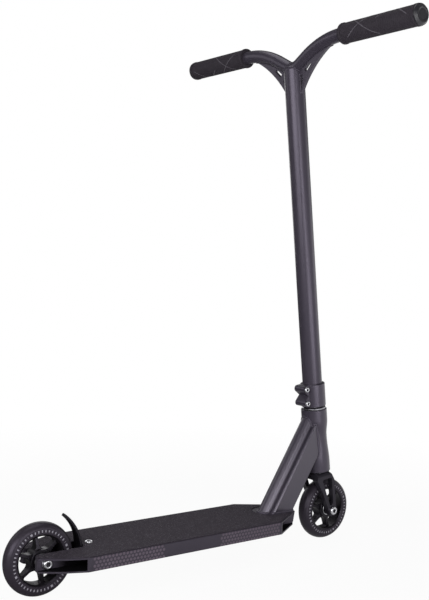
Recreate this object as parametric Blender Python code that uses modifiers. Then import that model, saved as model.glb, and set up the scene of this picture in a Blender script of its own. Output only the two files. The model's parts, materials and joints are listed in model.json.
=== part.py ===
"""Stunt scooter: every piece a separate solid at its real size, in metres.

+X is forward, +Y the rider's left and +Z up. The origin is on the ground, midway between the
axles. Steering pieces hang from an empty whose local Z is the steering axis and whose local X
points forward, so their local heights are measured along the head tube.
"""
from math import asin, atan2, cos, hypot, pi, radians, sin, sqrt, tan

import bmesh
import bpy
from mathutils import Matrix, Vector

# Gap between pieces that touch, and the distance under which points are one
SEAT = 0.0003
MERGE = 0.00001

# Roundness: sides of wheels, of tubes and rings, of small fasteners and of the crossbar
WHEEL_SIDES = 40
TUBE_SIDES = 28
SMALL_SIDES = 16
CROSSBAR_SIDES = 16

# Wheels, alike front and rear
WHEELBASE = 0.576
WHEEL_RADIUS = 0.055
WHEEL_WIDTH = 0.024
CROWN_DEPTH = 0.009
CORE_RADIUS = 0.0385
RIM_WALL = 0.0025
HUB_RADIUS = 0.0165
SPOKES = 6
SPOKE_WIDTH = 0.0052
SPOKE_RECESS = 0.005
SPOKE_CORNER = 0.0018
REAR_SPOKE_ANGLE = radians(40)
FRONT_SPOKE_ANGLE = radians(44)
BEARING_RADIUS = 0.011
BEARING_WIDTH = 0.007
HUB_SHOULDER_RADIUS = 0.009
SLEEVE_RADIUS = 0.006

# Button heads of all bolts, as shares of a head's own radius and height
HEAD_CROWN = 0.62
HEAD_SHOULDER = 0.9
HEAD_SHOULDER_HEIGHT = 0.75
HEAD_SIDE_HEIGHT = 0.4
HEX_FLOOR = 0.35

# Axle bolts, their nuts and washers
AXLE_RADIUS = 0.004
AXLE_HEAD_RADIUS = 0.0073
AXLE_HEAD_HEIGHT = 0.0041
AXLE_NUT_FLATS = 0.013
AXLE_NUT_HEIGHT = 0.0065
WASHER_RADIUS = 0.0078
WASHER_THICKNESS = 0.0015

# Deck extrusion
AXLE_ABOVE_UNDERSIDE = 0.0106
DECK_HEIGHT = 0.0214
DECK_WIDTH = 0.130
DECK_EDGE_RADIUS = 0.0012
DECK_CORNER_RADIUS = 0.002
TOP_PLATE = 0.0026
BOTTOM_PLATE = 0.0025
SIDE_WALL = 0.0020
CHANNEL_WIDTH = 0.030
WEB_THICKNESS = 0.0123
SLOT_EASE = 0.0003
SLOT_GAP = 0.014
SLOT_CORNER_RADIUS = 0.003
RAIL_BEHIND_AXLE = 0.015
RAIL_HALF_WIDTH = 0.0345
RAIL_MOUTH_RADIUS = 0.007
RAIL_BEVEL_LENGTH = 0.005
RAIL_BEVEL_DEPTH = 0.0038
RAIL_BEVEL_RADIUS = 0.001
REAR_CORNER_AHEAD = 0.052
REAR_KNEE_AHEAD = 0.018
REAR_KNEE_SHARE = 0.54
REAR_KNEE_RADIUS = 0.01
NOSE_GAP = 0.0352
NOSE_WIDTH = 0.045
NOSE_CHAMFER = 0.0678
NOSE_RAKE = radians(64)

# Grip tape
TAPE_THICKNESS = 0.0009
TAPE_MARGIN = 0.0012
TAPE_NECK_SIDE = 0.010
TAPE_NECK_REAR = 0.007

# Brake: the blade's arc is measured from the rear axle, its groove along the blade from 0 to 1
BRAKE_ROOT_ANGLE = radians(4.1)
BRAKE_TIP_ANGLE = radians(56)
BRAKE_ROOT_GAP = 0.0096
BRAKE_TIP_GAP = 0.015
BRAKE_THICKNESS = 0.0042
BRAKE_WIDTH = 0.019
BRAKE_TIP_WIDTH = 0.0065
BRAKE_RIB = 0.0028
BRAKE_GROOVE = 0.002
BRAKE_GROOVE_START = 0.2
BRAKE_GROOVE_END = 0.9
FOOT_THICKNESS = 0.005
FOOT_LENGTH = 0.030
FOOT_WIDTH = 0.026
BRAKE_BOLT_AHEAD = 0.0155
BRAKE_BOLT_RADIUS = 0.003
BRAKE_HEAD_RADIUS = 0.0063
BRAKE_HEAD_HEIGHT = 0.0026
BRAKE_NUT_FLATS = 0.010
BRAKE_NUT_HEIGHT = 0.005

# Steering axis and head tube
HEAD_TILT = radians(7.5)
FORK_OFFSET = 0.008
CROWN_GAP = 0.0075
CROWN_HEIGHT = 0.010
CROWN_CLEARANCE = 0.001
HEAD_TUBE_LENGTH = 0.1145
HEAD_TUBE_RADIUS = 0.023
HEAD_TUBE_WAIST = 0.0203
HEAD_TUBE_BORE = 0.0158
LOWER_FLARE_START = 0.0155
LOWER_FLARE_END = 0.0625
UPPER_FLARE_START = 0.048
UPPER_FLARE_END = 0.020
HEADSET_RADIUS = 0.0209
HEADSET_BEARING_HEIGHT = 0.008
HEADSET_RECESS = 0.002
RACE_HEIGHT = 0.0027
RACE_RADIUS = 0.020
COMPRESSION_RING_HEIGHT = 0.0018
COMPRESSION_RING_RADIUS = 0.0186
HEADSET_CAP_HEIGHT = 0.0044
HEADSET_CAP_RADIUS = 0.0213
HEADSET_CAP_BEVEL = 0.0015

# Neck: box tube with a round rib standing on its rear shoulders, measured from the line on which
# it leans
NECK_WIDTH = 0.038
NECK_FRONT = 0.0249
NECK_SHOULDERS = 0.0146
NECK_WALL = 0.003
NECK_FRONT_ROUNDING = 0.003
NECK_REAR_ROUNDING = 0.004
NECK_RIB_RADIUS = 0.0121
NECK_RIB_STAND = 0.0017
NECK_FOOT_SETBACK = 0.0303
NECK_JOIN_HEIGHT = 0.0864

# Fork
STEERER_RADIUS = 0.0143
STEERER_WALL = 0.0025
FORK_HALF_WIDTH = 0.0256
FORK_LEG_THICKNESS = 0.0103
CROWN_BOSS_RADIUS = 0.0212
CROWN_BOSS_BEVEL = 0.0015
CROWN_SHOULDER_RADIUS = 0.006
CROWN_FRONT = 0.0115
CROWN_FRONT_DROP = 0.0049
LEG_END_RADIUS = 0.0097
LEG_END_START = radians(10)
LEG_END_FINISH = radians(-140)
LEG_FRONT = 0.017
LEG_FRONT_DROP = 0.0165
LEG_REAR_TOP = 0.0246
LEG_REAR_HOLLOW = 0.002
WINDOW_FRONT = 0.0105
WINDOW_REAR = 0.0125
WINDOW_TOP_GAP = 0.001
WINDOW_FOOT = 0.009
WINDOW_FOOT_FRONT = 0.004
WINDOW_FOOT_REAR = 0.0015
WINDOW_FRONT_RISE = 0.005
WINDOW_REAR_RISE = 0.004
WINDOW_TOP_RADIUS = 0.003
WINDOW_FOOT_RADIUS = 0.002

# Clamp
CLAMP_LIFT = 0.001
CLAMP_HEIGHT = 0.0408
CLAMP_RADIUS = 0.022
CLAMP_BEVEL = 0.0008
CLAMP_SLIT = 0.0024
EAR_HALF_WIDTH = 0.0125
EAR_RADIUS = 0.0059
EAR_DROP = 0.0004
EAR_BOLT_REAR = 0.0265
EAR_BOLT_SPACING = 0.0252
EAR_NOTCH_REAR = 0.022
EAR_NOTCH_ANGLE = radians(50)
CLAMP_BOLT_RADIUS = 0.003
CLAMP_HEAD_RADIUS = 0.0048
CLAMP_HEAD_HEIGHT = 0.0033

# Bar
BAR_LIFT = 0.0006
DOWN_TUBE_RADIUS = 0.01745
DOWN_TUBE_WALL = 0.0015
BAR_HEIGHT = 0.6271
BAR_RISE = 0.036
BAR_SLOPE = radians(29)
BAR_BEND = 0.175
SADDLE_BEND = 0.030
BAR_TUBE_RADIUS = 0.0111
BAR_TUBE_WALL = 0.0021
BAR_HALF_LENGTH = 0.2765
BAR_SLIT = 0.002
BAR_SLIT_SHORT = 0.004
TUBE_CAP_HEIGHT = 0.007
TUBE_CAP_RADIUS = 0.0125

# Gussets between the down tube and the crossbar; their openings' corners are (across, height
# over the saddle)
GUSSET_THICKNESS = 0.006
GUSSET_FOOT_DROP = 0.0445
GUSSET_REACH = 0.0935
GUSSET_HOLLOW = 0.0072
GUSSET_SUNK = 0.0052
GUSSET_TIP_SUNK = 0.0011
GUSSET_CORNER_RADIUS = 0.001
GUSSET_WINDOW = ((0.028, -0.0065), (0.0325, -0.011), (0.046, 0.0015), (0.0405, 0.0038))
GUSSET_SLOT = (
    (0.014, -0.0365), (0.0185, -0.0365), (0.0215, -0.0265), (0.026, -0.018), (0.022, -0.014),
    (0.014, -0.014),
)

# Grips and bar ends
GRIP_RADIUS = 0.01625
GRIP_LENGTH = 0.155
GRIP_FLANGE_RADIUS = 0.0172
GRIP_FLANGE_WIDTH = 0.004
GRIP_COLLAR_RADIUS = 0.0168
GRIP_COLLAR_WIDTH = 0.005
BAR_END_RADIUS = 0.0162
BAR_END_HEIGHT = 0.0055
BAR_END_BEVEL = 0.0035
BAR_END_STEM = 0.018

# Compression parts inside the bar
STEERER_ABOVE_CLAMP = 0.0134
SHIM_ABOVE_STEERER = 0.001
COMPRESSION_CAP_HEIGHT = 0.0037
COMPRESSION_BOLT_RADIUS = 0.003
COMPRESSION_HEAD_RADIUS = 0.005
COMPRESSION_HEAD_HEIGHT = 0.004
STAR_NUT_DROP = 0.026
STAR_NUT_HEIGHT = 0.006

# Places worked out from the sizes
REAR_AXLE = (-WHEELBASE / 2, WHEEL_RADIUS)
FRONT_AXLE = (WHEELBASE / 2, WHEEL_RADIUS)
STEERING_FOOT = (
    FRONT_AXLE[0] - FORK_OFFSET * cos(HEAD_TILT),
    FRONT_AXLE[1] - FORK_OFFSET * sin(HEAD_TILT),
)
UNDERSIDE = WHEEL_RADIUS - AXLE_ABOVE_UNDERSIDE
DECK_TOP = UNDERSIDE + DECK_HEIGHT
TOP_PLATE_UNDER = DECK_TOP - TOP_PLATE
SLOT_HALF_WIDTH = CHANNEL_WIDTH / 2 + SLOT_EASE
SLOT_FRONT = REAR_AXLE[0] + WHEEL_RADIUS + SLOT_GAP
WEB_OUTER = CHANNEL_WIDTH / 2 + WEB_THICKNESS
NOSE = FRONT_AXLE[0] - WHEEL_RADIUS - NOSE_GAP
CROWN_UNDER = WHEEL_RADIUS + CROWN_GAP
CROWN_TOP = CROWN_UNDER + CROWN_HEIGHT
HEAD_BOTTOM = CROWN_TOP + CROWN_CLEARANCE
HEAD_TOP = HEAD_BOTTOM + HEAD_TUBE_LENGTH
RACE_LOW = CROWN_TOP + SEAT
LOWER_BEARING = RACE_LOW + RACE_HEIGHT + SEAT
UPPER_BEARING = HEAD_TOP - HEADSET_RECESS - HEADSET_BEARING_HEIGHT
COMPRESSION_RING = UPPER_BEARING + HEADSET_BEARING_HEIGHT + SEAT
HEADSET_CAP = COMPRESSION_RING + COMPRESSION_RING_HEIGHT + SEAT
CLAMP_LOW = HEADSET_CAP + HEADSET_CAP_HEIGHT + CLAMP_LIFT
CLAMP_TOP = CLAMP_LOW + CLAMP_HEIGHT
BAR_LOW = CLAMP_LOW + BAR_LIFT
GRIP_LINE = BAR_LOW + BAR_HEIGHT
SADDLE = GRIP_LINE - BAR_RISE
STEERER_TOP = CLAMP_TOP + STEERER_ABOVE_CLAMP
SHIM_TOP = STEERER_TOP + SHIM_ABOVE_STEERER
FORK_LEG_INNER = FORK_HALF_WIDTH - FORK_LEG_THICKNESS
BRAKE_BOLT = SLOT_FRONT + BRAKE_BOLT_AHEAD

# How a local Z axis is turned: an outline's (x, y) becomes (x, z) under RIGHT, (y, z) under FORWARD
UP = (0, 0, 0)
LEFT = (-pi / 2, 0, 0)
RIGHT = (pi / 2, 0, 0)
FORWARD = (pi / 2, 0, pi / 2)
DOWN = (pi, 0, 0)


for leftover in list(bpy.data.objects):
    bpy.data.objects.remove(leftover)
PARTS = bpy.data.collections.new("stunt_scooter")
CUTTERS = bpy.data.collections.new("cutters")
bpy.context.scene.collection.children.link(PARTS)
bpy.context.scene.collection.children.link(CUTTERS)


def finish(name, shade, roughness, metallic):
    """A plain material; shade is its linear red, green and blue."""
    material = bpy.data.materials.new(name)
    material.use_nodes = True
    shader = material.node_tree.nodes["Principled BSDF"]
    shader.inputs["Base Color"].default_value = (*shade, 1)
    shader.inputs["Roughness"].default_value = roughness
    shader.inputs["Metallic"].default_value = metallic
    return material


GRAPHITE = finish("graphite_satin_paint", (0.15, 0.145, 0.16), 0.45, 0.3)
BLACK_METAL = finish("black_satin_anodising", (0.025, 0.025, 0.03), 0.4, 0.5)
STEEL = finish("bright_steel", (0.6, 0.6, 0.62), 0.25, 1)
POLISHED = finish("polished_aluminium", (0.8, 0.8, 0.82), 0.15, 1)
TYRE = finish("grey_polyurethane", (0.07, 0.07, 0.085), 0.5, 0)
RUBBER = finish("black_rubber", (0.02, 0.02, 0.022), 0.7, 0)
TAPE = finish("abrasive_tape", (0.05, 0.048, 0.052), 0.9, 0)


def evaluated(temporary):
    """The finished mesh of a temporary object: its loose caps welded, its faces pointing out."""
    bpy.context.scene.collection.objects.link(temporary)
    graph = bpy.context.evaluated_depsgraph_get()
    mesh = bpy.data.meshes.new_from_object(temporary.evaluated_get(graph))
    bpy.data.objects.remove(temporary)
    shape = bmesh.new()
    shape.from_mesh(mesh)
    bmesh.ops.remove_doubles(shape, verts=shape.verts, dist=MERGE)
    bmesh.ops.recalc_face_normals(shape, faces=shape.faces)
    shape.to_mesh(mesh)
    shape.free()
    mesh.shade_smooth()
    mesh.set_sharp_from_angle(angle=radians(35))
    return mesh


def turned(profile, sides=TUBE_SIDES):
    """A solid of revolution about Z. The (radius, height) profile starts down its outer side."""
    mesh = bpy.data.meshes.new("profile")
    on_axis = profile[0][0] == 0
    count = len(profile)
    edges = [(index, (index + 1) % count) for index in range(count - 1 if on_axis else count)]
    mesh.from_pydata([(radius, 0, height) for radius, height in profile], edges, [])
    temporary = bpy.data.objects.new("profile", mesh)
    screw = temporary.modifiers.new("turn", "SCREW")
    screw.steps = sides
    screw.render_steps = sides
    screw.use_merge_vertices = True
    screw.merge_threshold = MERGE
    return evaluated(temporary)


def ring(inner, outer, low, high, sides=TUBE_SIDES):
    """A plain turned ring."""
    return turned([(outer, high), (outer, low), (inner, low), (inner, high)], sides)


def rod(radius, low, high, sides=TUBE_SIDES):
    """A plain turned rod."""
    return turned([(0, high), (radius, high), (radius, low), (0, low)], sides)


def extruded(outlines, low, high):
    """Closed outlines in XY, the first the edge and the rest holes, made solid from low to high."""
    curve = bpy.data.curves.new("outline", "CURVE")
    curve.dimensions = "2D"
    curve.fill_mode = "BOTH"
    curve.extrude = (high - low) / 2
    for outline in outlines:
        spline = curve.splines.new("POLY")
        spline.points.add(len(outline) - 1)
        for point, (x, y) in zip(spline.points, outline):
            point.co = (x, y, 0, 1)
        spline.use_cyclic_u = True
    mesh = evaluated(bpy.data.objects.new("outline", curve))
    mesh.transform(Matrix.Translation((0, 0, (low + high) / 2)))
    return mesh


def swept(points, radius, sides):
    """A round rod along the points."""
    curve = bpy.data.curves.new("path", "CURVE")
    curve.dimensions = "3D"
    curve.bevel_depth = radius
    curve.bevel_resolution = sides // 2 - 2
    curve.use_fill_caps = True
    spline = curve.splines.new("POLY")
    spline.points.add(len(points) - 1)
    for point, place in zip(spline.points, points):
        point.co = (*place, 1)
    return evaluated(bpy.data.objects.new("path", curve))


def block(low, high):
    """A box between two corners."""
    mesh = bpy.data.meshes.new("block")
    shape = bmesh.new()
    bmesh.ops.create_cube(shape, size=1)
    size = [high[axis] - low[axis] for axis in range(3)]
    middle = [(high[axis] + low[axis]) / 2 for axis in range(3)]
    bmesh.ops.scale(shape, vec=size, verts=shape.verts)
    bmesh.ops.translate(shape, vec=middle, verts=shape.verts)
    shape.to_mesh(mesh)
    shape.free()
    return mesh


def arc(centre, radius, start, end, steps):
    """Points on a circle from one angle to another, both included."""
    angles = [start + (end - start) * step / steps for step in range(steps + 1)]
    return [(centre[0] + radius * cos(angle), centre[1] + radius * sin(angle)) for angle in angles]


def circle(radius, sides=TUBE_SIDES, centre=(0, 0)):
    return arc(centre, radius, 0, 2 * pi * (1 - 1 / sides), sides - 1)


def hexagon(flats):
    return circle(flats / sqrt(3), 6)


def bulged(start, end, rise, steps):
    """An arc between two points whose middle stands off to the left of the line by rise."""
    line = Vector(end) - Vector(start)
    ahead = line.normalized()
    left = Vector((-ahead.y, ahead.x))
    radius = (line.length ** 2 / 4 + rise ** 2) / (2 * rise)
    centre = (Vector(start) + Vector(end)) / 2 + left * (rise - radius)
    half = asin(line.length / 2 / radius)
    angles = [half * (2 * step / steps - 1) for step in range(steps + 1)]
    return [tuple(centre + left * radius * cos(a) + ahead * radius * sin(a)) for a in angles]


def rounded(corners, radii, steps=3):
    """A closed outline whose corners become arcs. A radius of 0 leaves a corner sharp."""
    outline = []
    for index, (corner, radius) in enumerate(zip(corners, radii)):
        if radius == 0:
            outline.append(corner)
            continue
        corner = Vector(corner)
        back = (Vector(corners[index - 1]) - corner).normalized()
        ahead = (Vector(corners[(index + 1) % len(corners)]) - corner).normalized()
        half = back.angle(ahead) / 2
        centre = corner + (back + ahead).normalized() * radius / sin(half)
        start = corner + back * radius / tan(half) - centre
        end = corner + ahead * radius / tan(half) - centre
        first = atan2(start.y, start.x)
        turn = (atan2(end.y, end.x) - first + pi) % (2 * pi) - pi
        outline += arc(centre, radius, first, first + turn, steps)
    return outline


def mirrored(half):
    """A closed outline from the half on +Y, which runs from its front end to its rear end."""
    return half + [(x, -y) for x, y in reversed(half)]


def piece(name, mesh, material, frame=None, at=(0, 0, 0), turn=UP):
    """One named part of the scooter."""
    part = bpy.data.objects.new(name, mesh)
    part.location = at
    part.rotation_euler = turn
    part.parent = frame
    mesh.materials.append(material)
    PARTS.objects.link(part)
    return part


def shaped(part, mesh, operation, frame, at, turn):
    tool = bpy.data.objects.new(part.name + "_" + operation.lower(), mesh)
    tool.location = at
    tool.rotation_euler = turn
    tool.parent = frame
    tool.hide_render = True
    tool.display_type = "WIRE"
    CUTTERS.objects.link(tool)
    boolean = part.modifiers.new(operation.lower(), "BOOLEAN")
    boolean.object = tool
    boolean.operation = operation
    boolean.solver = "EXACT"
    return tool


def cut(part, mesh, frame=None, at=(0, 0, 0), turn=UP):
    return shaped(part, mesh, "DIFFERENCE", frame, at, turn)


def join(part, mesh, frame=None, at=(0, 0, 0), turn=UP):
    return shaped(part, mesh, "UNION", frame, at, turn)


def keep(part, mesh, frame=None, at=(0, 0, 0), turn=UP):
    return shaped(part, mesh, "INTERSECT", frame, at, turn)


def empty(name, at, turn=UP, frame=None):
    """A frame that pieces hang from, on the axis that they turn about."""
    holder = bpy.data.objects.new(name, None)
    holder.location = at
    holder.rotation_euler = turn
    holder.parent = frame
    PARTS.objects.link(holder)
    return holder


def bolt(name, radius, length, head_radius, head_height, material, frame, at, turn):
    """A button-head bolt: its head stands on local +Z from the seat, its shank runs to -Z."""
    crown = head_radius * HEAD_CROWN
    profile = [
        (0, head_height), (crown, head_height),
        (head_radius * HEAD_SHOULDER, head_height * HEAD_SHOULDER_HEIGHT),
        (head_radius, head_height * HEAD_SIDE_HEIGHT), (head_radius, 0), (radius, 0),
        (radius, -length), (0, -length),
    ]
    part = piece(name, turned(profile, SMALL_SIDES), material, frame, at, turn)
    socket = extruded([hexagon(crown)], head_height * HEX_FLOOR, head_height * 2)
    cut(part, socket, frame, at, turn)
    return part


def nut(name, radius, flats, height, material, frame, at, turn):
    outline = [hexagon(flats), circle(radius + SEAT, SMALL_SIDES)]
    return piece(name, extruded(outline, 0, height), material, frame, at, turn)


rear_axle = empty("rear_axle", (REAR_AXLE[0], 0, REAR_AXLE[1]))
steering_axis = empty("steering_axis", (STEERING_FOOT[0], 0, STEERING_FOOT[1]), (0, -HEAD_TILT, 0))
front_axle = empty("front_axle", (FORK_OFFSET, 0, 0), UP, steering_axis)


# Wheels

def spoke_window():
    """The opening between two spokes, centred on +X and arched where it meets the hub."""
    half_pitch = pi / SPOKES
    side = SPOKE_WIDTH / 2
    arch = (HUB_RADIUS * sin(half_pitch) - side) / (1 - sin(half_pitch))
    rim = CORE_RADIUS - RIM_WALL
    spread = half_pitch - asin(side / rim) - SPOKE_CORNER / rim
    corner = rim - SPOKE_CORNER
    corner_spread = half_pitch - asin(side / corner)
    outer = arc((0, 0), rim, -spread, spread, 4)
    near = (corner * cos(corner_spread), corner * sin(corner_spread))
    far = (near[0], -near[1])
    inner = arc((HUB_RADIUS + arch, 0), arch, pi / 2 + half_pitch, 3 * pi / 2 - half_pitch, 5)
    return outer + [near] + inner + [far]


def wheel(prefix, frame, spoke_angle):
    """Tyre, core and two bearings about the frame's Y axis."""
    half = WHEEL_WIDTH / 2
    crown = [
        (WHEEL_RADIUS - CROWN_DEPTH + CROWN_DEPTH * cos(angle), half * sin(angle))
        for angle in [pi / 2 - pi * step / 8 for step in range(9)]
    ]
    seat = CORE_RADIUS + SEAT
    tyre = turned(crown + [(seat, -half), (seat, half)], WHEEL_SIDES)
    piece(prefix + "_tyre", tyre, TYRE, frame, turn=LEFT)

    outlines = [circle(CORE_RADIUS, WHEEL_SIDES), circle(HUB_SHOULDER_RADIUS, SMALL_SIDES)]
    for spoke in range(SPOKES):
        middle = spoke_angle + (spoke + 0.5) * 2 * pi / SPOKES
        window = [
            (x * cos(middle) - y * sin(middle), x * sin(middle) + y * cos(middle))
            for x, y in spoke_window()
        ]
        outlines.append(window)
    body = extruded(outlines, -half, half)
    core = piece(prefix + "_wheel_core", body, BLACK_METAL, frame, turn=RIGHT)
    inside_rim = CORE_RADIUS - RIM_WALL - SEAT
    shoulder = half - BEARING_WIDTH - SEAT
    recess = (HUB_RADIUS - SEAT, inside_rim, half - SPOKE_RECESS, half + SPOKE_RECESS)
    for turn in (LEFT, RIGHT):
        cut(core, ring(*recess, WHEEL_SIDES), frame, turn=turn)
        cut(core, rod(BEARING_RADIUS + SEAT, shoulder, WHEEL_WIDTH), frame, turn=turn)

    bearing = ring(AXLE_RADIUS + SEAT, BEARING_RADIUS, half - BEARING_WIDTH, half, SMALL_SIDES)
    piece(prefix + "_bearing_left", bearing, STEEL, frame, turn=LEFT)
    piece(prefix + "_bearing_right", bearing, STEEL, frame, turn=RIGHT)


def axle(prefix, frame, seat_width, washer):
    """Bolt from the right, nut on the left and what keeps the bearings apart on it."""
    half = WHEEL_WIDTH / 2
    bore = AXLE_RADIUS + SEAT
    inner_face = half - BEARING_WIDTH - SEAT
    sleeve = ring(bore, SLEEVE_RADIUS, -inner_face, inner_face, SMALL_SIDES)
    piece(prefix + "_bearing_sleeve", sleeve, STEEL, frame, turn=LEFT)
    gap = SLOT_HALF_WIDTH if washer else FORK_LEG_INNER
    spacer = ring(bore, SLEEVE_RADIUS, half + SEAT, gap - SEAT, SMALL_SIDES)
    piece(prefix + "_spacer_left", spacer, STEEL, frame, turn=LEFT)
    piece(prefix + "_spacer_right", spacer, STEEL, frame, turn=RIGHT)
    seat = seat_width + SEAT
    if washer:
        disc = ring(bore, WASHER_RADIUS, seat, seat + WASHER_THICKNESS, SMALL_SIDES)
        piece("rear_axle_washer_left", disc, STEEL, frame, turn=LEFT)
        piece("rear_axle_washer_right", disc, STEEL, frame, turn=RIGHT)
        seat += WASHER_THICKNESS + SEAT
    length = 2 * seat + AXLE_NUT_HEIGHT
    bolt(prefix + "_axle_bolt", AXLE_RADIUS, length, AXLE_HEAD_RADIUS, AXLE_HEAD_HEIGHT, STEEL,
         frame, (0, -seat, 0), RIGHT)
    nut(prefix + "_axle_nut", AXLE_RADIUS, AXLE_NUT_FLATS, AXLE_NUT_HEIGHT, STEEL,
        frame, (0, seat, 0), LEFT)


wheel("rear", rear_axle, REAR_SPOKE_ANGLE)
wheel("front", front_axle, FRONT_SPOKE_ANGLE - HEAD_TILT)
axle("rear", rear_axle, WEB_OUTER, True)
axle("front", front_axle, FORK_HALF_WIDTH, False)


# Deck and grip tape

def deck_plan(inset):
    """The deck seen from above, with the wheel slot open to the rear, drawn in by inset."""
    axle_x = REAR_AXLE[0]
    half = DECK_WIDTH / 2 - inset
    rail = RAIL_HALF_WIDTH - inset
    slot = SLOT_HALF_WIDTH + inset
    end = axle_x - RAIL_BEHIND_AXLE + inset
    corners = [
        (NOSE - inset, NOSE_WIDTH / 2 - inset / 2),
        (NOSE - NOSE_CHAMFER - inset, half),
        (axle_x + REAR_CORNER_AHEAD, half),
        (axle_x + REAR_KNEE_AHEAD, rail + (half - rail) * REAR_KNEE_SHARE),
        (end + RAIL_BEVEL_LENGTH, rail),
        (end, rail - RAIL_BEVEL_DEPTH),
        (end, slot),
        (SLOT_FRONT + inset, slot),
    ]
    radii = [
        0, DECK_CORNER_RADIUS, DECK_CORNER_RADIUS, REAR_KNEE_RADIUS, DECK_CORNER_RADIUS,
        RAIL_BEVEL_RADIUS, RAIL_MOUTH_RADIUS - inset, SLOT_CORNER_RADIUS,
    ]
    return rounded(mirrored(corners), radii + radii[::-1])


def deck():
    """One extrusion: top, bottom and side walls and two webs, cut to the plan."""
    half = DECK_WIDTH / 2
    edge = DECK_EDGE_RADIUS
    outer = rounded(
        [(-half, UNDERSIDE), (half, UNDERSIDE), (half, DECK_TOP), (-half, DECK_TOP)], [edge] * 4, 2
    )
    floor = UNDERSIDE + BOTTOM_PLATE
    hollows = [
        [(low, floor), (high, floor), (high, TOP_PLATE_UNDER), (low, TOP_PLATE_UNDER)]
        for low, high in (
            (WEB_OUTER, half - SIDE_WALL),
            (-CHANNEL_WIDTH / 2, CHANNEL_WIDTH / 2),
            (SIDE_WALL - half, -WEB_OUTER),
        )
    ]
    beyond = WHEELBASE / 2
    extrusion = extruded([outer] + hollows, -beyond - WHEEL_RADIUS, beyond)
    part = piece("deck", extrusion, GRAPHITE, turn=FORWARD)
    keep(part, extruded([deck_plan(0)], UNDERSIDE - SIDE_WALL, DECK_TOP + SIDE_WALL))
    rake = DECK_HEIGHT / tan(NOSE_RAKE)
    foot = NOSE - rake
    wedge = [
        (foot - rake, UNDERSIDE - DECK_HEIGHT), (NOSE + rake, UNDERSIDE - DECK_HEIGHT),
        (NOSE + rake, DECK_TOP + DECK_HEIGHT),
    ]
    cut(part, extruded([wedge], -half, half), turn=RIGHT)
    hole = rod(AXLE_RADIUS + SEAT, -half, half, SMALL_SIDES)
    cut(part, hole, rear_axle, turn=LEFT)
    low = TOP_PLATE_UNDER - TOP_PLATE
    bolt_hole = rod(BRAKE_BOLT_RADIUS + SEAT, low, DECK_TOP + TOP_PLATE, SMALL_SIDES)
    cut(part, bolt_hole, at=(BRAKE_BOLT, 0, 0))


def grip_tape():
    """Sheet on the deck's top, cut out in a U round the neck's foot and round the brake bolt."""
    low = DECK_TOP + SEAT
    high = low + TAPE_THICKNESS
    part = piece("grip_tape", extruded([deck_plan(TAPE_MARGIN)], low, high), TAPE)
    reach = NECK_WIDTH / 2 + TAPE_NECK_SIDE
    middle = NECK_REAR_FOOT - TAPE_NECK_REAR + reach
    front = NOSE + reach
    around = arc((middle, 0), reach, pi / 2, 3 * pi / 2, 12) + [(front, -reach), (front, reach)]
    cut(part, extruded([around], DECK_TOP, high + TAPE_THICKNESS))
    hole = rod(BRAKE_HEAD_RADIUS + TAPE_MARGIN, DECK_TOP, high + TAPE_THICKNESS, SMALL_SIDES)
    cut(part, hole, at=(BRAKE_BOLT, 0, 0))


# Neck and head tube

def on_steering(forward, height):
    """World X and Z of a place given from the steering axis."""
    return (
        STEERING_FOOT[0] + forward * cos(HEAD_TILT) - height * sin(HEAD_TILT),
        STEERING_FOOT[1] + forward * sin(HEAD_TILT) + height * cos(HEAD_TILT),
    )


NECK_FOOT = (NOSE - NECK_FOOT_SETBACK, DECK_TOP)
NECK_HEAD = on_steering(0, HEAD_BOTTOM + NECK_JOIN_HEIGHT)
NECK_SLOPE = atan2(NECK_HEAD[1] - NECK_FOOT[1], NECK_HEAD[0] - NECK_FOOT[0])
NECK_RUN = hypot(NECK_HEAD[0] - NECK_FOOT[0], NECK_HEAD[1] - NECK_FOOT[1])
NECK_RIB_OUT = NECK_SHOULDERS + NECK_RIB_STAND + NECK_RIB_RADIUS
NECK_REAR_FOOT = NECK_FOOT[0] - NECK_RIB_OUT / sin(NECK_SLOPE)


def head_tube_outside(grow):
    """The head tube's outer side from top to bottom, waisted between two flares."""
    ease = HEAD_TUBE_RADIUS - HEAD_TUBE_WAIST
    profile = [(HEAD_TUBE_RADIUS + grow, HEAD_TOP)]
    flares = (
        (HEAD_TOP - UPPER_FLARE_END, HEAD_TOP - UPPER_FLARE_START, 4, 0),
        (HEAD_BOTTOM + LOWER_FLARE_END, HEAD_BOTTOM + LOWER_FLARE_START, 5, pi),
    )
    for high, low, steps, phase in flares:
        for step in range(steps + 1):
            along = step / steps
            radius = HEAD_TUBE_RADIUS - ease * (1 - cos(phase + pi * along)) / 2
            profile.append((radius + grow, high + (low - high) * along))
    profile.append((HEAD_TUBE_RADIUS + grow, HEAD_BOTTOM))
    return profile


def head_tube():
    pocket = HEADSET_RADIUS + SEAT
    lower_floor = LOWER_BEARING + HEADSET_BEARING_HEIGHT + SEAT
    upper_floor = UPPER_BEARING - SEAT
    inside = [
        (pocket, HEAD_BOTTOM), (pocket, lower_floor), (HEAD_TUBE_BORE, lower_floor),
        (HEAD_TUBE_BORE, upper_floor), (pocket, upper_floor), (pocket, HEAD_TOP),
    ]
    piece("head_tube", turned(head_tube_outside(0) + inside), GRAPHITE, steering_axis)


def neck_outline(inset, front_rounding, rear_rounding, steps):
    """The neck's section as (forward, across), drawn in by inset."""
    half = NECK_WIDTH / 2 - inset
    front = NECK_FRONT - inset
    rear = NECK_SHOULDERS - inset
    corners = rounded(
        [(front, -half), (front, half), (-rear, half), (-rear, -half)],
        [front_rounding, front_rounding, rear_rounding, rear_rounding], steps
    )
    rib_middle = NECK_SHOULDERS + NECK_RIB_STAND
    rib_radius = NECK_RIB_RADIUS - inset
    edge = asin((rib_middle - rear) / rib_radius)
    rib = arc((-rib_middle, 0), rib_radius, pi / 2 - edge, 3 * pi / 2 + edge, 10)
    before_rib = 3 * (steps + 1)
    return corners[:before_rib] + rib + corners[before_rib:]


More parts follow.
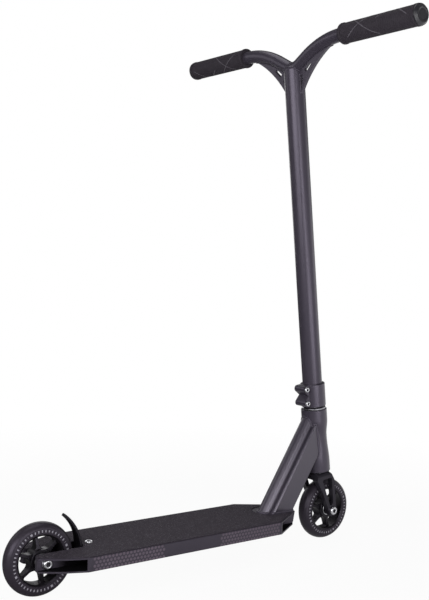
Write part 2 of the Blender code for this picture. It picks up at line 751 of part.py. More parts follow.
def neck():
    """Ribbed box tube cut flat on the deck and hollowed round the head tube."""
    section = neck_outline(0, NECK_FRONT_ROUNDING, NECK_REAR_ROUNDING, 3)
    hollow = neck_outline(NECK_WALL, NECK_WALL / 2, NECK_WALL / 2, 1)
    foot = (NECK_FOOT[0], 0, NECK_FOOT[1])
    deep = NECK_FRONT + NECK_RIB_OUT
    tube = extruded([section, hollow], -deep, NECK_RUN + deep / 2)
    part = piece("neck", tube, GRAPHITE, at=foot, turn=(0, pi / 2 - NECK_SLOPE, 0))
    rear_end = NECK_FOOT[0] - NECK_RUN
    below = block((rear_end, -NECK_WIDTH, 0), (NOSE + NECK_RUN, NECK_WIDTH, DECK_TOP + SEAT))
    cut(part, below)
    over = HEAD_TUBE_RADIUS + SEAT
    mouth = head_tube_outside(SEAT)
    high = (0, HEAD_TOP + deep)
    low = (0, HEAD_BOTTOM - deep)
    solid = [high, (over, high[1])] + mouth + [(over, low[1]), low]
    cut(part, turned(solid), steering_axis)
    cut(part, block((0, -over, low[1]), (deep * 2, over, high[1])), steering_axis)


def headset():
    """Bearings in the head tube, and the race, ring and cap that turn with the fork."""
    bore = STEERER_RADIUS + SEAT
    for end, low in (("lower", LOWER_BEARING), ("upper", UPPER_BEARING)):
        bearing = ring(bore, HEADSET_RADIUS, low, low + HEADSET_BEARING_HEIGHT)
        piece("headset_bearing_" + end, bearing, STEEL, steering_axis)
    race = ring(bore, RACE_RADIUS, RACE_LOW, RACE_LOW + RACE_HEIGHT)
    piece("crown_race", race, STEEL, steering_axis)
    compression = ring(
        bore, COMPRESSION_RING_RADIUS, COMPRESSION_RING, COMPRESSION_RING + COMPRESSION_RING_HEIGHT
    )
    piece("compression_ring", compression, STEEL, steering_axis)
    high = HEADSET_CAP + HEADSET_CAP_HEIGHT
    bevel = HEADSET_CAP_BEVEL
    profile = [
        (HEADSET_CAP_RADIUS - bevel, high), (HEADSET_CAP_RADIUS, high - bevel),
        (HEADSET_CAP_RADIUS, HEADSET_CAP), (bore, HEADSET_CAP), (bore, high),
    ]
    piece("headset_cap", turned(profile), POLISHED, steering_axis)


deck()
grip_tape()
head_tube()
neck()
headset()


# Brake

def brake():
    """Blade on an arc round the wheel, its foot in the deck's channel, and the bolt between."""
    root = WHEEL_RADIUS + BRAKE_ROOT_GAP
    tip = WHEEL_RADIUS + BRAKE_TIP_GAP
    middle = root + BRAKE_THICKNESS / 2
    pivot = (middle * cos(BRAKE_ROOT_ANGLE), middle * sin(BRAKE_ROOT_ANGLE))
    holder = empty("brake_pivot", (pivot[0], 0, pivot[1]), UP, rear_axle)

    def face(offset, start, end, steps):
        """Points on the blade's arc, offset outward from its wheel side."""
        points = []
        for step in range(steps + 1):
            along = start + (end - start) * step / steps
            angle = BRAKE_ROOT_ANGLE + (BRAKE_TIP_ANGLE - BRAKE_ROOT_ANGLE) * along
            radius = root + (tip - root) * along + offset
            points.append((radius * cos(angle) - pivot[0], radius * sin(angle) - pivot[1]))
        return points

    under = arc((0, 0), BRAKE_THICKNESS / 2, BRAKE_ROOT_ANGLE - pi, BRAKE_ROOT_ANGLE, 6)
    outline = face(BRAKE_THICKNESS, 0, 1, 8)[1:] + face(0, 1, 0, 8)[:-1] + under
    half = BRAKE_WIDTH / 2
    blade = piece("brake_blade", extruded([outline], -half, half), BLACK_METAL, holder, turn=RIGHT)
    top = face(BRAKE_THICKNESS, 1, 1, 1)[0][1] + BRAKE_THICKNESS
    wide = DECK_TOP - REAR_AXLE[1] - pivot[1]
    taper = [
        (-half, -BRAKE_THICKNESS), (half, -BRAKE_THICKNESS), (half, wide),
        (BRAKE_TIP_WIDTH / 2, top), (-BRAKE_TIP_WIDTH / 2, top), (-half, wide),
    ]
    reach = tip + BRAKE_WIDTH
    keep(blade, extruded([taper], -reach, reach), holder, turn=FORWARD)
    inside = half - BRAKE_RIB
    inside_tip = BRAKE_TIP_WIDTH / 2 - BRAKE_RIB / 2
    groove = face(BRAKE_GROOVE, BRAKE_GROOVE_START, BRAKE_GROOVE_END, 6)
    groove += face(-BRAKE_GROOVE, BRAKE_GROOVE_END, BRAKE_GROOVE_START, 6)
    channel = cut(blade, extruded([groove], -inside, inside), holder, turn=RIGHT)
    narrow = [(-inside, wide - half), (inside, wide - half), (inside, wide), (inside_tip, top),
              (-inside_tip, top), (-inside, wide)]
    keep(channel, extruded([narrow], -reach, reach), holder, turn=FORWARD)

    foot_top = TOP_PLATE_UNDER - SEAT
    foot_rear = REAR_AXLE[0] + pivot[0] + BRAKE_THICKNESS / 2 + SEAT
    foot = block(
        (foot_rear, -FOOT_WIDTH / 2, foot_top - FOOT_THICKNESS),
        (foot_rear + FOOT_LENGTH, FOOT_WIDTH / 2, foot_top)
    )
    part = piece("brake_foot", foot, BLACK_METAL)
    hole = rod(BRAKE_BOLT_RADIUS + SEAT, foot_top - FOOT_THICKNESS * 2, DECK_TOP, SMALL_SIDES)
    cut(part, hole, at=(BRAKE_BOLT, 0, 0))
    head_seat = DECK_TOP + SEAT
    nut_top = foot_top - FOOT_THICKNESS - SEAT
    bolt("brake_bolt", BRAKE_BOLT_RADIUS, head_seat - nut_top + BRAKE_NUT_HEIGHT, BRAKE_HEAD_RADIUS,
         BRAKE_HEAD_HEIGHT, STEEL, None, (BRAKE_BOLT, 0, head_seat), UP)
    nut("brake_nut", BRAKE_BOLT_RADIUS, BRAKE_NUT_FLATS, BRAKE_NUT_HEIGHT, STEEL,
        None, (BRAKE_BOLT, 0, nut_top), DOWN)


brake()


# Fork and steerer

def fork():
    """Crown and two windowed legs from one side profile, trimmed to a front profile."""
    rear_corner = (-LEG_REAR_TOP, CROWN_UNDER)
    leg_foot = (FORK_OFFSET - LEG_END_RADIUS * cos(pi / 6), -LEG_END_RADIUS * sin(pi / 6))
    top = [
        (-CROWN_BOSS_RADIUS, CROWN_TOP), (FORK_OFFSET, CROWN_TOP),
        (CROWN_FRONT, CROWN_TOP - CROWN_FRONT_DROP), (LEG_FRONT, CROWN_TOP - LEG_FRONT_DROP),
    ]
    end = arc((FORK_OFFSET, 0), LEG_END_RADIUS, LEG_END_START, LEG_END_FINISH, 8)
    rear = bulged(leg_foot, rear_corner, -LEG_REAR_HOLLOW, 6)
    outline = top + [(LEG_FRONT, LEG_END_RADIUS)] + end + rear[1:]
    wide = FORK_HALF_WIDTH
    part = piece("fork", extruded([outline], -wide, wide), BLACK_METAL, steering_axis, turn=RIGHT)
    deep = -2 * LEG_END_RADIUS
    front = rounded(
        [(-wide, deep), (wide, deep), (wide, CROWN_TOP), (-wide, CROWN_TOP)],
        [0, 0, CROWN_SHOULDER_RADIUS, CROWN_SHOULDER_RADIUS], 4
    )
    reach = 2 * LEG_REAR_TOP
    keep(part, extruded([front], -reach, reach), steering_axis, turn=FORWARD)
    bevel = CROWN_BOSS_BEVEL
    boss = turned([
        (0, CROWN_TOP), (CROWN_BOSS_RADIUS - bevel, CROWN_TOP),
        (CROWN_BOSS_RADIUS, CROWN_TOP - bevel), (CROWN_BOSS_RADIUS, CROWN_UNDER - bevel),
        (0, CROWN_UNDER - bevel),
    ])
    join(part, boss, steering_axis)
    gap = block((-reach, -FORK_LEG_INNER, deep), (reach, FORK_LEG_INNER, CROWN_UNDER))
    cut(part, gap, steering_axis)
    window_top = CROWN_UNDER - WINDOW_TOP_GAP
    window = rounded(
        [(-WINDOW_REAR, window_top), (WINDOW_FRONT, window_top),
         (WINDOW_FRONT, WINDOW_FOOT + WINDOW_FRONT_RISE), (WINDOW_FOOT_FRONT, WINDOW_FOOT),
         (WINDOW_FOOT_REAR, WINDOW_FOOT + WINDOW_REAR_RISE)],
        [WINDOW_TOP_RADIUS] * 3 + [WINDOW_FOOT_RADIUS] * 2
    )
    cut(part, extruded([window], -reach, reach), steering_axis, turn=RIGHT)
    cut(part, rod(STEERER_RADIUS + SEAT, CROWN_UNDER - reach, CROWN_TOP + reach), steering_axis)
    cut(part, rod(AXLE_RADIUS + SEAT, -reach, reach, SMALL_SIDES), front_axle, turn=LEFT)


def steerer():
    """The tube through the headset, and what pulls the bar down on it."""
    inside = STEERER_RADIUS - STEERER_WALL
    tube = ring(inside, STEERER_RADIUS, CROWN_UNDER + SEAT, STEERER_TOP)
    piece("steerer", tube, STEEL, steering_axis)
    shim_outer = DOWN_TUBE_RADIUS - DOWN_TUBE_WALL - SEAT
    shim = ring(STEERER_RADIUS + SEAT, shim_outer, BAR_LOW, SHIM_TOP)
    piece("steerer_shim", shim, BLACK_METAL, steering_axis)
    hole = COMPRESSION_BOLT_RADIUS + SEAT
    low = SHIM_TOP + SEAT
    high = low + COMPRESSION_CAP_HEIGHT
    piece("compression_cap", ring(hole, shim_outer, low, high), BLACK_METAL, steering_axis)
    nut_low = STEERER_TOP - STAR_NUT_DROP
    star_nut = ring(hole, inside - SEAT, nut_low, nut_low + STAR_NUT_HEIGHT, SMALL_SIDES)
    piece("star_nut", star_nut, STEEL, steering_axis)
    bolt("compression_bolt", COMPRESSION_BOLT_RADIUS, high + SEAT - nut_low, COMPRESSION_HEAD_RADIUS,
         COMPRESSION_HEAD_HEIGHT, STEEL, steering_axis, (0, 0, high + SEAT), UP)


# Clamp

def clamp():
    """Collar with two bolted ears, slit at the rear."""
    bolt_high = CLAMP_TOP - EAR_DROP - EAR_RADIUS
    bolt_low = bolt_high - EAR_BOLT_SPACING
    bevel = CLAMP_BEVEL
    collar = turned([
        (0, CLAMP_TOP), (CLAMP_RADIUS - bevel, CLAMP_TOP), (CLAMP_RADIUS, CLAMP_TOP - bevel),
        (CLAMP_RADIUS, CLAMP_LOW + bevel), (CLAMP_RADIUS - bevel, CLAMP_LOW), (0, CLAMP_LOW),
    ])
    part = piece("clamp", collar, GRAPHITE, steering_axis)
    inner = DOWN_TUBE_RADIUS + CLAMP_SLIT
    top = arc((-EAR_BOLT_REAR, bolt_high), EAR_RADIUS, pi / 2, pi + EAR_NOTCH_ANGLE, 6)
    bottom = arc((-EAR_BOLT_REAR, bolt_low), EAR_RADIUS, pi - EAR_NOTCH_ANGLE, 3 * pi / 2, 6)
    notch = [(-EAR_NOTCH_REAR, (bolt_high + bolt_low) / 2)]
    ears = [(-inner, CLAMP_TOP - EAR_DROP)] + top + notch + bottom
    ears.append((-inner, bolt_low - EAR_RADIUS))
    join(part, extruded([ears], -EAR_HALF_WIDTH, EAR_HALF_WIDTH), steering_axis, turn=RIGHT)
    bore = rod(DOWN_TUBE_RADIUS + SEAT, CLAMP_LOW - CLAMP_HEIGHT, CLAMP_TOP + CLAMP_HEIGHT)
    cut(part, bore, steering_axis)
    slit = CLAMP_SLIT / 2
    rear = EAR_BOLT_REAR + 2 * EAR_RADIUS
    cut(part, block((-rear, -slit, CLAMP_LOW - slit), (0, slit, CLAMP_TOP + slit)), steering_axis)
    seat = EAR_HALF_WIDTH + SEAT
    for name, height in (("clamp_bolt_upper", bolt_high), ("clamp_bolt_lower", bolt_low)):
        hole = rod(CLAMP_BOLT_RADIUS + SEAT, -CLAMP_RADIUS, CLAMP_RADIUS, SMALL_SIDES)
        cut(part, hole, steering_axis, (-EAR_BOLT_REAR, 0, height), LEFT)
        bolt(name, CLAMP_BOLT_RADIUS, seat + EAR_HALF_WIDTH, CLAMP_HEAD_RADIUS, CLAMP_HEAD_HEIGHT,
             STEEL, steering_axis, (-EAR_BOLT_REAR, -seat, height), RIGHT)


# Bar, gussets and grips

def bar_line():
    """Half of the crossbar's centre line as (across, height), from its middle to its end."""
    rise_left = BAR_RISE - (BAR_BEND + SADDLE_BEND) * (1 - cos(BAR_SLOPE))
    bend_start = SADDLE_BEND * sin(BAR_SLOPE) + rise_left / tan(BAR_SLOPE)
    straight = bend_start + BAR_BEND * sin(BAR_SLOPE)
    saddle = arc((0, SADDLE + SADDLE_BEND), SADDLE_BEND, -pi / 2, BAR_SLOPE - pi / 2, 3)
    bend = arc((straight, GRIP_LINE - BAR_BEND), BAR_BEND, pi / 2 + BAR_SLOPE, pi / 2, 4)
    return saddle + bend + [(BAR_HALF_LENGTH, GRIP_LINE)]


def bar_height(across):
    """Height of the crossbar's centre line at a distance from its middle."""
    line = bar_line()
    for (y0, z0), (y1, z1) in zip(line, line[1:]):
        if y0 <= across <= y1:
            return z0 + (z1 - z0) * (across - y0) / (y1 - y0)
    return line[-1][1]


def bar_path(extra):
    """The crossbar's whole centre line, its ends drawn out by extra."""
    half = bar_line()
    half[-1] = (half[-1][0] + extra, half[-1][1])
    return [(0, -y, z) for y, z in reversed(half[1:])] + [(0, y, z) for y, z in half]


def bar():
    """Slit down tube, bent crossbar coped into its top, and a windowed gusset on each side."""
    crossbar = swept(bar_path(0), BAR_TUBE_RADIUS, CROSSBAR_SIDES)
    part = piece("bar_crossbar", crossbar, GRAPHITE, steering_axis)
    bore = swept(bar_path(BAR_TUBE_RADIUS), BAR_TUBE_RADIUS - BAR_TUBE_WALL, CROSSBAR_SIDES)
    cut(part, bore, steering_axis)

    outer = DOWN_TUBE_RADIUS
    inner = outer - DOWN_TUBE_WALL
    shoulder = SADDLE - TUBE_CAP_HEIGHT / 2
    top = shoulder + TUBE_CAP_HEIGHT
    cap_middle = (TUBE_CAP_RADIUS + outer) / 2 + DOWN_TUBE_WALL
    profile = [
        (TUBE_CAP_RADIUS, top), (cap_middle, top - TUBE_CAP_HEIGHT / 3), (outer, shoulder),
        (outer, BAR_LOW), (inner, BAR_LOW), (inner, shoulder - DOWN_TUBE_WALL),
        (TUBE_CAP_RADIUS - DOWN_TUBE_WALL, top - DOWN_TUBE_WALL),
    ]
    tube = piece("bar_down_tube", turned(profile), GRAPHITE, steering_axis)
    cope = swept(bar_path(0), BAR_TUBE_RADIUS + SEAT, CROSSBAR_SIDES)
    cut(tube, cope, steering_axis)
    slit = BAR_SLIT / 2
    slit_top = CLAMP_TOP - BAR_SLIT_SHORT
    cut(tube, block((-outer * 2, -slit, BAR_LOW - slit), (0, slit, slit_top)), steering_axis)

    foot = (DOWN_TUBE_RADIUS, SADDLE - GUSSET_FOOT_DROP)
    over_tip = (GUSSET_REACH, bar_height(GUSSET_REACH))
    tip = (GUSSET_REACH, over_tip[1] - BAR_TUBE_RADIUS + GUSSET_TIP_SUNK)
    inside = DOWN_TUBE_RADIUS - GUSSET_SUNK
    in_bar = [point for point in bar_line() if inside < point[0] < GUSSET_REACH]
    outline = [(inside, foot[1])] + bulged(foot, tip, GUSSET_HOLLOW, 8) + [over_tip]
    outline += in_bar[::-1] + [(inside, SADDLE)]
    half = GUSSET_THICKNESS / 2
    column = rod(DOWN_TUBE_RADIUS + SEAT, BAR_LOW, GRIP_LINE)
    for name, side in (("gusset_left", 1), ("gusset_right", -1)):
        flipped = [(side * y, z) for y, z in outline]
        plate = piece(name, extruded([flipped], -half, half), GRAPHITE, steering_axis, turn=FORWARD)
        cut(plate, cope, steering_axis)
        cut(plate, column, steering_axis)
        for opening in (GUSSET_WINDOW, GUSSET_SLOT):
            corners = [(side * y, SADDLE + z) for y, z in opening]
            hole = rounded(corners, [GUSSET_CORNER_RADIUS] * len(corners), 2)
            cut(plate, extruded([hole], -outer, outer), steering_axis, turn=FORWARD)


def grips():
    """Rubber sleeve and end plug on each side of the crossbar."""
    bore = BAR_TUBE_RADIUS + SEAT
    far = BAR_HALF_LENGTH
    near = far - GRIP_LENGTH
    collar_low = far - GRIP_COLLAR_WIDTH
    profile = [
        (GRIP_COLLAR_RADIUS, far), (GRIP_COLLAR_RADIUS, collar_low), (GRIP_RADIUS, collar_low),
        (GRIP_RADIUS, near + GRIP_FLANGE_WIDTH), (GRIP_FLANGE_RADIUS, near + GRIP_FLANGE_WIDTH),
        (GRIP_FLANGE_RADIUS, near), (bore, near), (bore, far),
    ]
    grip = turned(profile, TUBE_SIDES)
    stem = BAR_TUBE_RADIUS - BAR_TUBE_WALL - SEAT
    seat = far + SEAT
    end = seat + BAR_END_HEIGHT
    plug = turned([
        (0, end), (BAR_END_RADIUS - BAR_END_BEVEL, end), (BAR_END_RADIUS, end - BAR_END_BEVEL),
        (BAR_END_RADIUS, seat), (stem, seat), (stem, seat - BAR_END_STEM), (0, seat - BAR_END_STEM),
    ])
    for side, turn in (("left", LEFT), ("right", RIGHT)):
        piece("grip_" + side, grip, RUBBER, steering_axis, (0, 0, GRIP_LINE), turn)
        piece("bar_end_" + side, plug, RUBBER, steering_axis, (0, 0, GRIP_LINE), turn)


fork()
steerer()
clamp()
bar()
grips()
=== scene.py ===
"""Stunt scooter: the fine shapes and finishes of its pieces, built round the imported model.

Everything is in metres, +X forward, +Y to the rider's left and +Z up. The sections follow the
scooter as it is put together: wheels, deck, brake, head tube, neck, fork, clamp, bar, grips.
"""

import json
from math import asin, atan2, ceil, cos, floor, hypot, pi, radians, sin, sqrt, tan

import bmesh
import bpy
from mathutils import Matrix, Vector


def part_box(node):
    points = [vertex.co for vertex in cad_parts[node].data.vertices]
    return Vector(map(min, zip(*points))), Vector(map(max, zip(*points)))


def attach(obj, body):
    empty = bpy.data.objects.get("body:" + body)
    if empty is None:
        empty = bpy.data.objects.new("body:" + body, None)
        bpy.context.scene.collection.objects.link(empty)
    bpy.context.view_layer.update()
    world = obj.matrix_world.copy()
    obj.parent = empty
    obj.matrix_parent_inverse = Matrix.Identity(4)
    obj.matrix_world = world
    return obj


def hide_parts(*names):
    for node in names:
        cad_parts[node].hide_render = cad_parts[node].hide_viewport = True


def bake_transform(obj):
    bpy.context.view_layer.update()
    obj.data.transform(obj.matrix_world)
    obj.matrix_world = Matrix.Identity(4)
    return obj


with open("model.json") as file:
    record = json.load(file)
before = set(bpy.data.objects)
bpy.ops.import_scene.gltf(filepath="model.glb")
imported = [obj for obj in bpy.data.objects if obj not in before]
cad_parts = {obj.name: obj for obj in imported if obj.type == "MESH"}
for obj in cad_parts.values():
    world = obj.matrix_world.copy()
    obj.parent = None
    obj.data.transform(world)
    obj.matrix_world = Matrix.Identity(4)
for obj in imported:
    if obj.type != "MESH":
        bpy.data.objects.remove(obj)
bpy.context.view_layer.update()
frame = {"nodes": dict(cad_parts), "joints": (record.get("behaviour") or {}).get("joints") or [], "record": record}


# Camera
# The photograph was taken from behind the rider's right, a little above the deck, with a long
# lens. Its place and turn come from the wheels, deck corners, bar and grips in the photograph.

camera_place = (-0.8970, -1.1955, 0.4918)
camera_heading = radians(-36.30)
camera_dip = radians(3.28)
camera_roll = radians(1.78)
camera = bpy.data.objects.new("camera", bpy.data.cameras.new("camera"))
camera.matrix_world = (
    Matrix.Translation(camera_place)
    @ Matrix.Rotation(camera_heading, 4, "Z")
    @ Matrix.Rotation(pi / 2 - camera_dip, 4, "X")
    @ Matrix.Rotation(camera_roll, 4, "Z")
)
camera.data.lens = 55.2
camera.data.shift_x = 0.0345
camera.data.shift_y = 0.0288
bpy.context.scene.collection.objects.link(camera)
bpy.context.scene.camera = camera


# Floor and light
# A white studio floor that runs into a white world, so that only a faint shadow shows. Soft
# cards stand all round the scooter, the strongest behind it, and one hangs overhead. The eye
# sees white all round, but the scooter mirrors white only from low down, ahead and to its right.

def linear(code):
    """The linear colour of an sRGB hex value."""
    parts = [int(code[start:start + 2], 16) / 255 for start in (1, 3, 5)]
    return [part / 12.92 if part <= 0.04045 else ((part + 0.055) / 1.055) ** 2.4 for part in parts]


def add(owner, kind, inputs=None, **settings):
    """A shader node with its settings, its inputs each a value, a node or a node's output."""
    node = owner.node_tree.nodes.new("ShaderNode" + kind)
    for name, value in settings.items():
        setattr(node, name, value)
    for name, value in (inputs or {}).items():
        if isinstance(value, bpy.types.Node):
            value = next(output for output in value.outputs if output.enabled)
        if isinstance(value, bpy.types.NodeSocket):
            owner.node_tree.links.new(value, node.inputs[name])
        else:
            node.inputs[name].default_value = value
    return node


bright_side = (0.8, -0.6, -5.0)
dark_end = 0.1


def shown(owner, spot, dark_at, white_at):
    """Whether a ray shows a surface to the eye, and how white that surface is for it.

    Straight to the camera it is white. Mirrored or through glass it is white past white_at along
    the studio's bright side, and falls to its dark end before dark_at.
    """
    along = add(owner, "VectorMath", {0: spot, 1: bright_side}, operation="DOT_PRODUCT")
    mirrored = add(owner, "MapRange", {
        "Value": along, "From Min": dark_at, "From Max": white_at, "To Min": dark_end,
    })
    paths = add(owner, "LightPath").outputs
    direct = paths["Is Camera Ray"]
    seen = add(owner, "Math", {0: direct, 1: paths["Is Glossy Ray"]}, operation="ADD")
    seen = add(owner, "Math", {0: seen, 1: paths["Is Transmission Ray"]}, operation="ADD")
    return seen, add(owner, "Math", {0: direct, 1: mirrored}, operation="MAXIMUM")


world_fill = 0.1
world = bpy.data.worlds.new("studio")
world.use_nodes = True
world.node_tree.nodes.clear()
bpy.context.scene.world = world
seen, whiteness = shown(world, add(world, "TexCoord").outputs["Generated"], -0.1, 0.6)
level = add(world, "MapRange", {"Value": seen, "To Min": world_fill, "To Max": whiteness})
sky = add(world, "Background", {"Color": (1, 1, 1, 1), "Strength": level})
add(world, "OutputWorld", {"Surface": sky})

# Each card's name, place, width and height, and power in watts.
cards = (
    ("rear_card", (-1.75, -0.7, 0.8), (1.8, 1.0), 32),
    ("side_card", (0.0, -1.4, 0.17), (1.0, 0.34), 5.5),
    ("left_card", (-1.1, 1.45, 1.15), (1.0, 0.8), 3),
    ("rib_card", (-0.4, -1.3, 0.62), (0.5, 0.3), 3.5),
    ("far_card", (0.7, 1.7, 0.9), (1.2, 1.0), 6),
    ("front_card", (1.7, -0.5, 0.8), (1.0, 1.0), 3),
    ("top_card", (0.0, 0.2, 2.2), (1.3, 1.3), 9),
)
aim = Vector((0.05, 0, 0.35))
for name, place, (width, height), power in cards:
    card = bpy.data.objects.new(name, bpy.data.lights.new(name, "AREA"))
    card.data.shape = "RECTANGLE"
    card.data.size = width
    card.data.size_y = height
    card.data.energy = power
    card.visible_camera = False
    turn = (aim - Vector(place)).to_track_quat("-Z", "Y").to_matrix().to_4x4()
    card.matrix_world = Matrix.Translation(place) @ turn
    bpy.context.scene.collection.objects.link(card)

floor_radius = 9
shadow_fades_from = 0.55
shadow_ends_at = 1.3
shadow_share = 0.05
floor_mesh = bmesh.new()
bmesh.ops.create_circle(floor_mesh, cap_ends=True, segments=96, radius=floor_radius)
floor_data = bpy.data.meshes.new("floor")
floor_mesh.to_mesh(floor_data)
floor_mesh.free()
floor_piece = bpy.data.objects.new("floor", floor_data)
bpy.context.scene.collection.objects.link(floor_piece)
# White studio vinyl, matt, that takes a faint shadow near the scooter and none further out.
vinyl = bpy.data.materials.new("studio_white")
vinyl.use_nodes = True
vinyl.node_tree.nodes.clear()
spot = add(vinyl, "TexCoord").outputs["Object"]
away = add(vinyl, "VectorMath", {0: spot}, operation="LENGTH")
unshadowed = add(vinyl, "MapRange", {
    "Value": away, "From Min": shadow_fades_from, "From Max": shadow_ends_at,
    "To Min": 1 - shadow_share,
})
seen, whiteness = shown(vinyl, spot, -0.3, 0.9)
glowing = add(vinyl, "Math", {0: unshadowed, 1: seen}, operation="MULTIPLY")
lit = add(vinyl, "BsdfDiffuse", {"Color": (0.6, 0.6, 0.6, 1)})
glow = add(vinyl, "Emission", {"Color": (1, 1, 1, 1), "Strength": whiteness})
both = add(vinyl, "MixShader", {0: glowing, 1: lit, 2: glow})
add(vinyl, "OutputMaterial", {"Surface": both})
floor_data.materials.append(vinyl)
bpy.context.scene.view_settings.view_transform = "Standard"


# Tyres
# Each tyre is cast polyurethane on its core: a satin grey half-round tread with flat side bands.
# The bands carry a printed ring of dots and plain ticks in pale grey.

joints = {joint["name"]: joint for joint in frame["joints"]}
rear_axle = Vector(joints["rear_wheel_spin"]["pos_m"])
front_axle = Vector(joints["front_wheel_spin"]["pos_m"])
to_left = Matrix.Rotation(-pi / 2, 4, "X")
rear_place = Matrix.Translation(rear_axle) @ to_left
front_place = Matrix.Translation(front_axle) @ to_left
wheels = (("rear", "rear_wheel", rear_place), ("front", "front_wheel", front_place))
sharp_angle = radians(38)


def reach(node, place):
    """Lowest and highest corner of a CAD node in the axes of a place."""
    inverse = place.inverted()
    points = [inverse @ vertex.co for vertex in frame["nodes"][node].data.vertices]
    low = Vector(min(point[axis] for point in points) for axis in range(3))
    high = Vector(max(point[axis] for point in points) for axis in range(3))
    return low, high


def made(name, mesh, place):
    """An object at the origin from a bmesh, with its place put into its mesh."""
    mesh.transform(place)
    bmesh.ops.recalc_face_normals(mesh, faces=mesh.faces)
    data = bpy.data.meshes.new(name)
    mesh.to_mesh(data)
    mesh.free()
    data.shade_smooth()
    data.set_sharp_from_angle(angle=sharp_angle)
    piece = bpy.data.objects.new(name, data)
    bpy.context.scene.collection.objects.link(piece)
    return piece


def fitted(piece, material, body, slot, *nodes):
    """Coats a piece, lets it ride on its body and puts it in place of CAD nodes.

    Its flat and straight faces are shaded so right up to their rounded edges.
    """
    piece.data.materials.clear()
    piece.data.materials.append(material)
    piece.modifiers.new("level_shading", "WEIGHTED_NORMAL").keep_sharp = True
    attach(piece, body)
    if nodes:
        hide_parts(*nodes)
    return piece


def arc(centre, radius, start, end, steps):
    """Points on a circle from one angle to another, both included."""
    angles = [start + (end - start) * step / steps for step in range(steps + 1)]
    return [(centre[0] + radius * cos(angle), centre[1] + radius * sin(angle)) for angle in angles]


def rounded(corners, radii, steps=5, closed=True):
    """An outline whose corners become arcs; a radius of 0 leaves a corner as it is."""
    outline = []
    last = len(corners) - 1
    for index, (corner, radius) in enumerate(zip(corners, radii)):
        if radius == 0 or (not closed and index in (0, last)):
            outline.append(tuple(corner))
            continue
        corner = Vector(corner)
        back = (Vector(corners[index - 1]) - corner).normalized()
        ahead = (Vector(corners[(index + 1) % len(corners)]) - corner).normalized()
        half = back.angle(ahead) / 2
        centre = corner + (back + ahead).normalized() * radius / sin(half)
        start = corner + back * radius / tan(half) - centre
        end = corner + ahead * radius / tan(half) - centre
        first = atan2(start.y, start.x)
        turn = (atan2(end.y, end.x) - first + pi) % (2 * pi) - pi
        outline += arc(centre, radius, first, first + turn, steps)
    return outline


def turned(name, profile, place, steps=96, hexed=()):
    """A piece turned about the Z of its place from (radius, height) points.

    A profile that starts on the axis ends on it. The points numbered in hexed lie on a hexagon.
    """
    mesh = bmesh.new()
    points = [mesh.verts.new((radius, 0, height)) for radius, height in profile]
    ends = points[1:] if profile[0][0] == 0 else points[1:] + points[:1]
    edges = [mesh.edges.new(pair) for pair in zip(points, ends)]
    bmesh.ops.spin(
        mesh, geom=points + edges, cent=(0, 0, 0), axis=(0, 0, 1), angle=2 * pi, steps=steps,
        use_merge=True,
    )
    bmesh.ops.remove_doubles(mesh, verts=mesh.verts, dist=1e-7)
    for radius, height in [profile[index] for index in hexed]:
        for vertex in mesh.verts:
            out = hypot(vertex.co.x, vertex.co.y)
            if abs(out - radius) < 1e-6 and abs(vertex.co.z - height) < 1e-6:
                turn = (atan2(vertex.co.y, vertex.co.x) + 1e-6) % (pi / 3) - pi / 6
                vertex.co.xy = vertex.co.xy / cos(turn)
    return made(name, mesh, place)


def grained(name, pale, dark, gloss, rough, grain, relief, cloud=(35, 5), detail=3,
            depth=0.0003, tint="#f2e8ff", metallic=0):
    """A skin cloudy between two tones, with a fine grain in its gloss and its relief.

    The grain's width is in mm, and the cloud is its width in mm with its detail. Roughness runs
    between two values. The gloss is a little violet unless it is given another tint.
    """
    material = bpy.data.materials.new(name)
    material.use_nodes = True
    shader = material.node_tree.nodes["Principled BSDF"]
    shader.inputs["Metallic"].default_value = metallic
    shader.inputs["Specular IOR Level"].default_value = gloss
    shader.inputs["Specular Tint"].default_value = (*linear(tint), 1)
    spot = add(material, "TexCoord").outputs["Object"]
    clouds = add(material, "TexNoise", {
        "Vector": spot, "Scale": 1000 / cloud[0], "Detail": cloud[1],
    })
    fine = add(material, "TexNoise", {
        "Vector": spot, "Scale": 1000 / grain, "Detail": detail,
    }, name="grain")
    tone = add(material, "Mix", {
        0: clouds, 6: (*linear(pale), 1), 7: (*linear(dark), 1),
    }, data_type="RGBA")
    dullness = add(material, "MapRange", {"Value": fine, "To Min": rough[0], "To Max": rough[1]})
    bump = add(material, "Bump", {
        "Height": fine, "Strength": relief, "Distance": depth,
    }, name="relief")
    link = material.node_tree.links.new
    link(tone.outputs[2], shader.inputs["Base Color"])
    link(dullness.outputs[0], shader.inputs["Roughness"])
    link(bump.outputs[0], shader.inputs["Normal"])
    return material


def laid_over(material, code, share):
    """Lays another colour over a material's own, by a share from 0 to 1."""
    base = material.node_tree.nodes["Principled BSDF"].inputs["Base Color"]
    tone = add(material, "Mix", {
        0: share, 6: base.links[0].from_socket, 7: (*linear(code), 1),
    }, data_type="RGBA")
    material.node_tree.links.new(tone.outputs[2], base)


crown_depth = 0.009
tread_lip = 0.0006
print_radius = 0.0436
mark_reach = 0.0017
gap_reach = 0.003
tick_count = 48
dot_count = 4
dot_shift = 0.24
ink_strength = 0.75


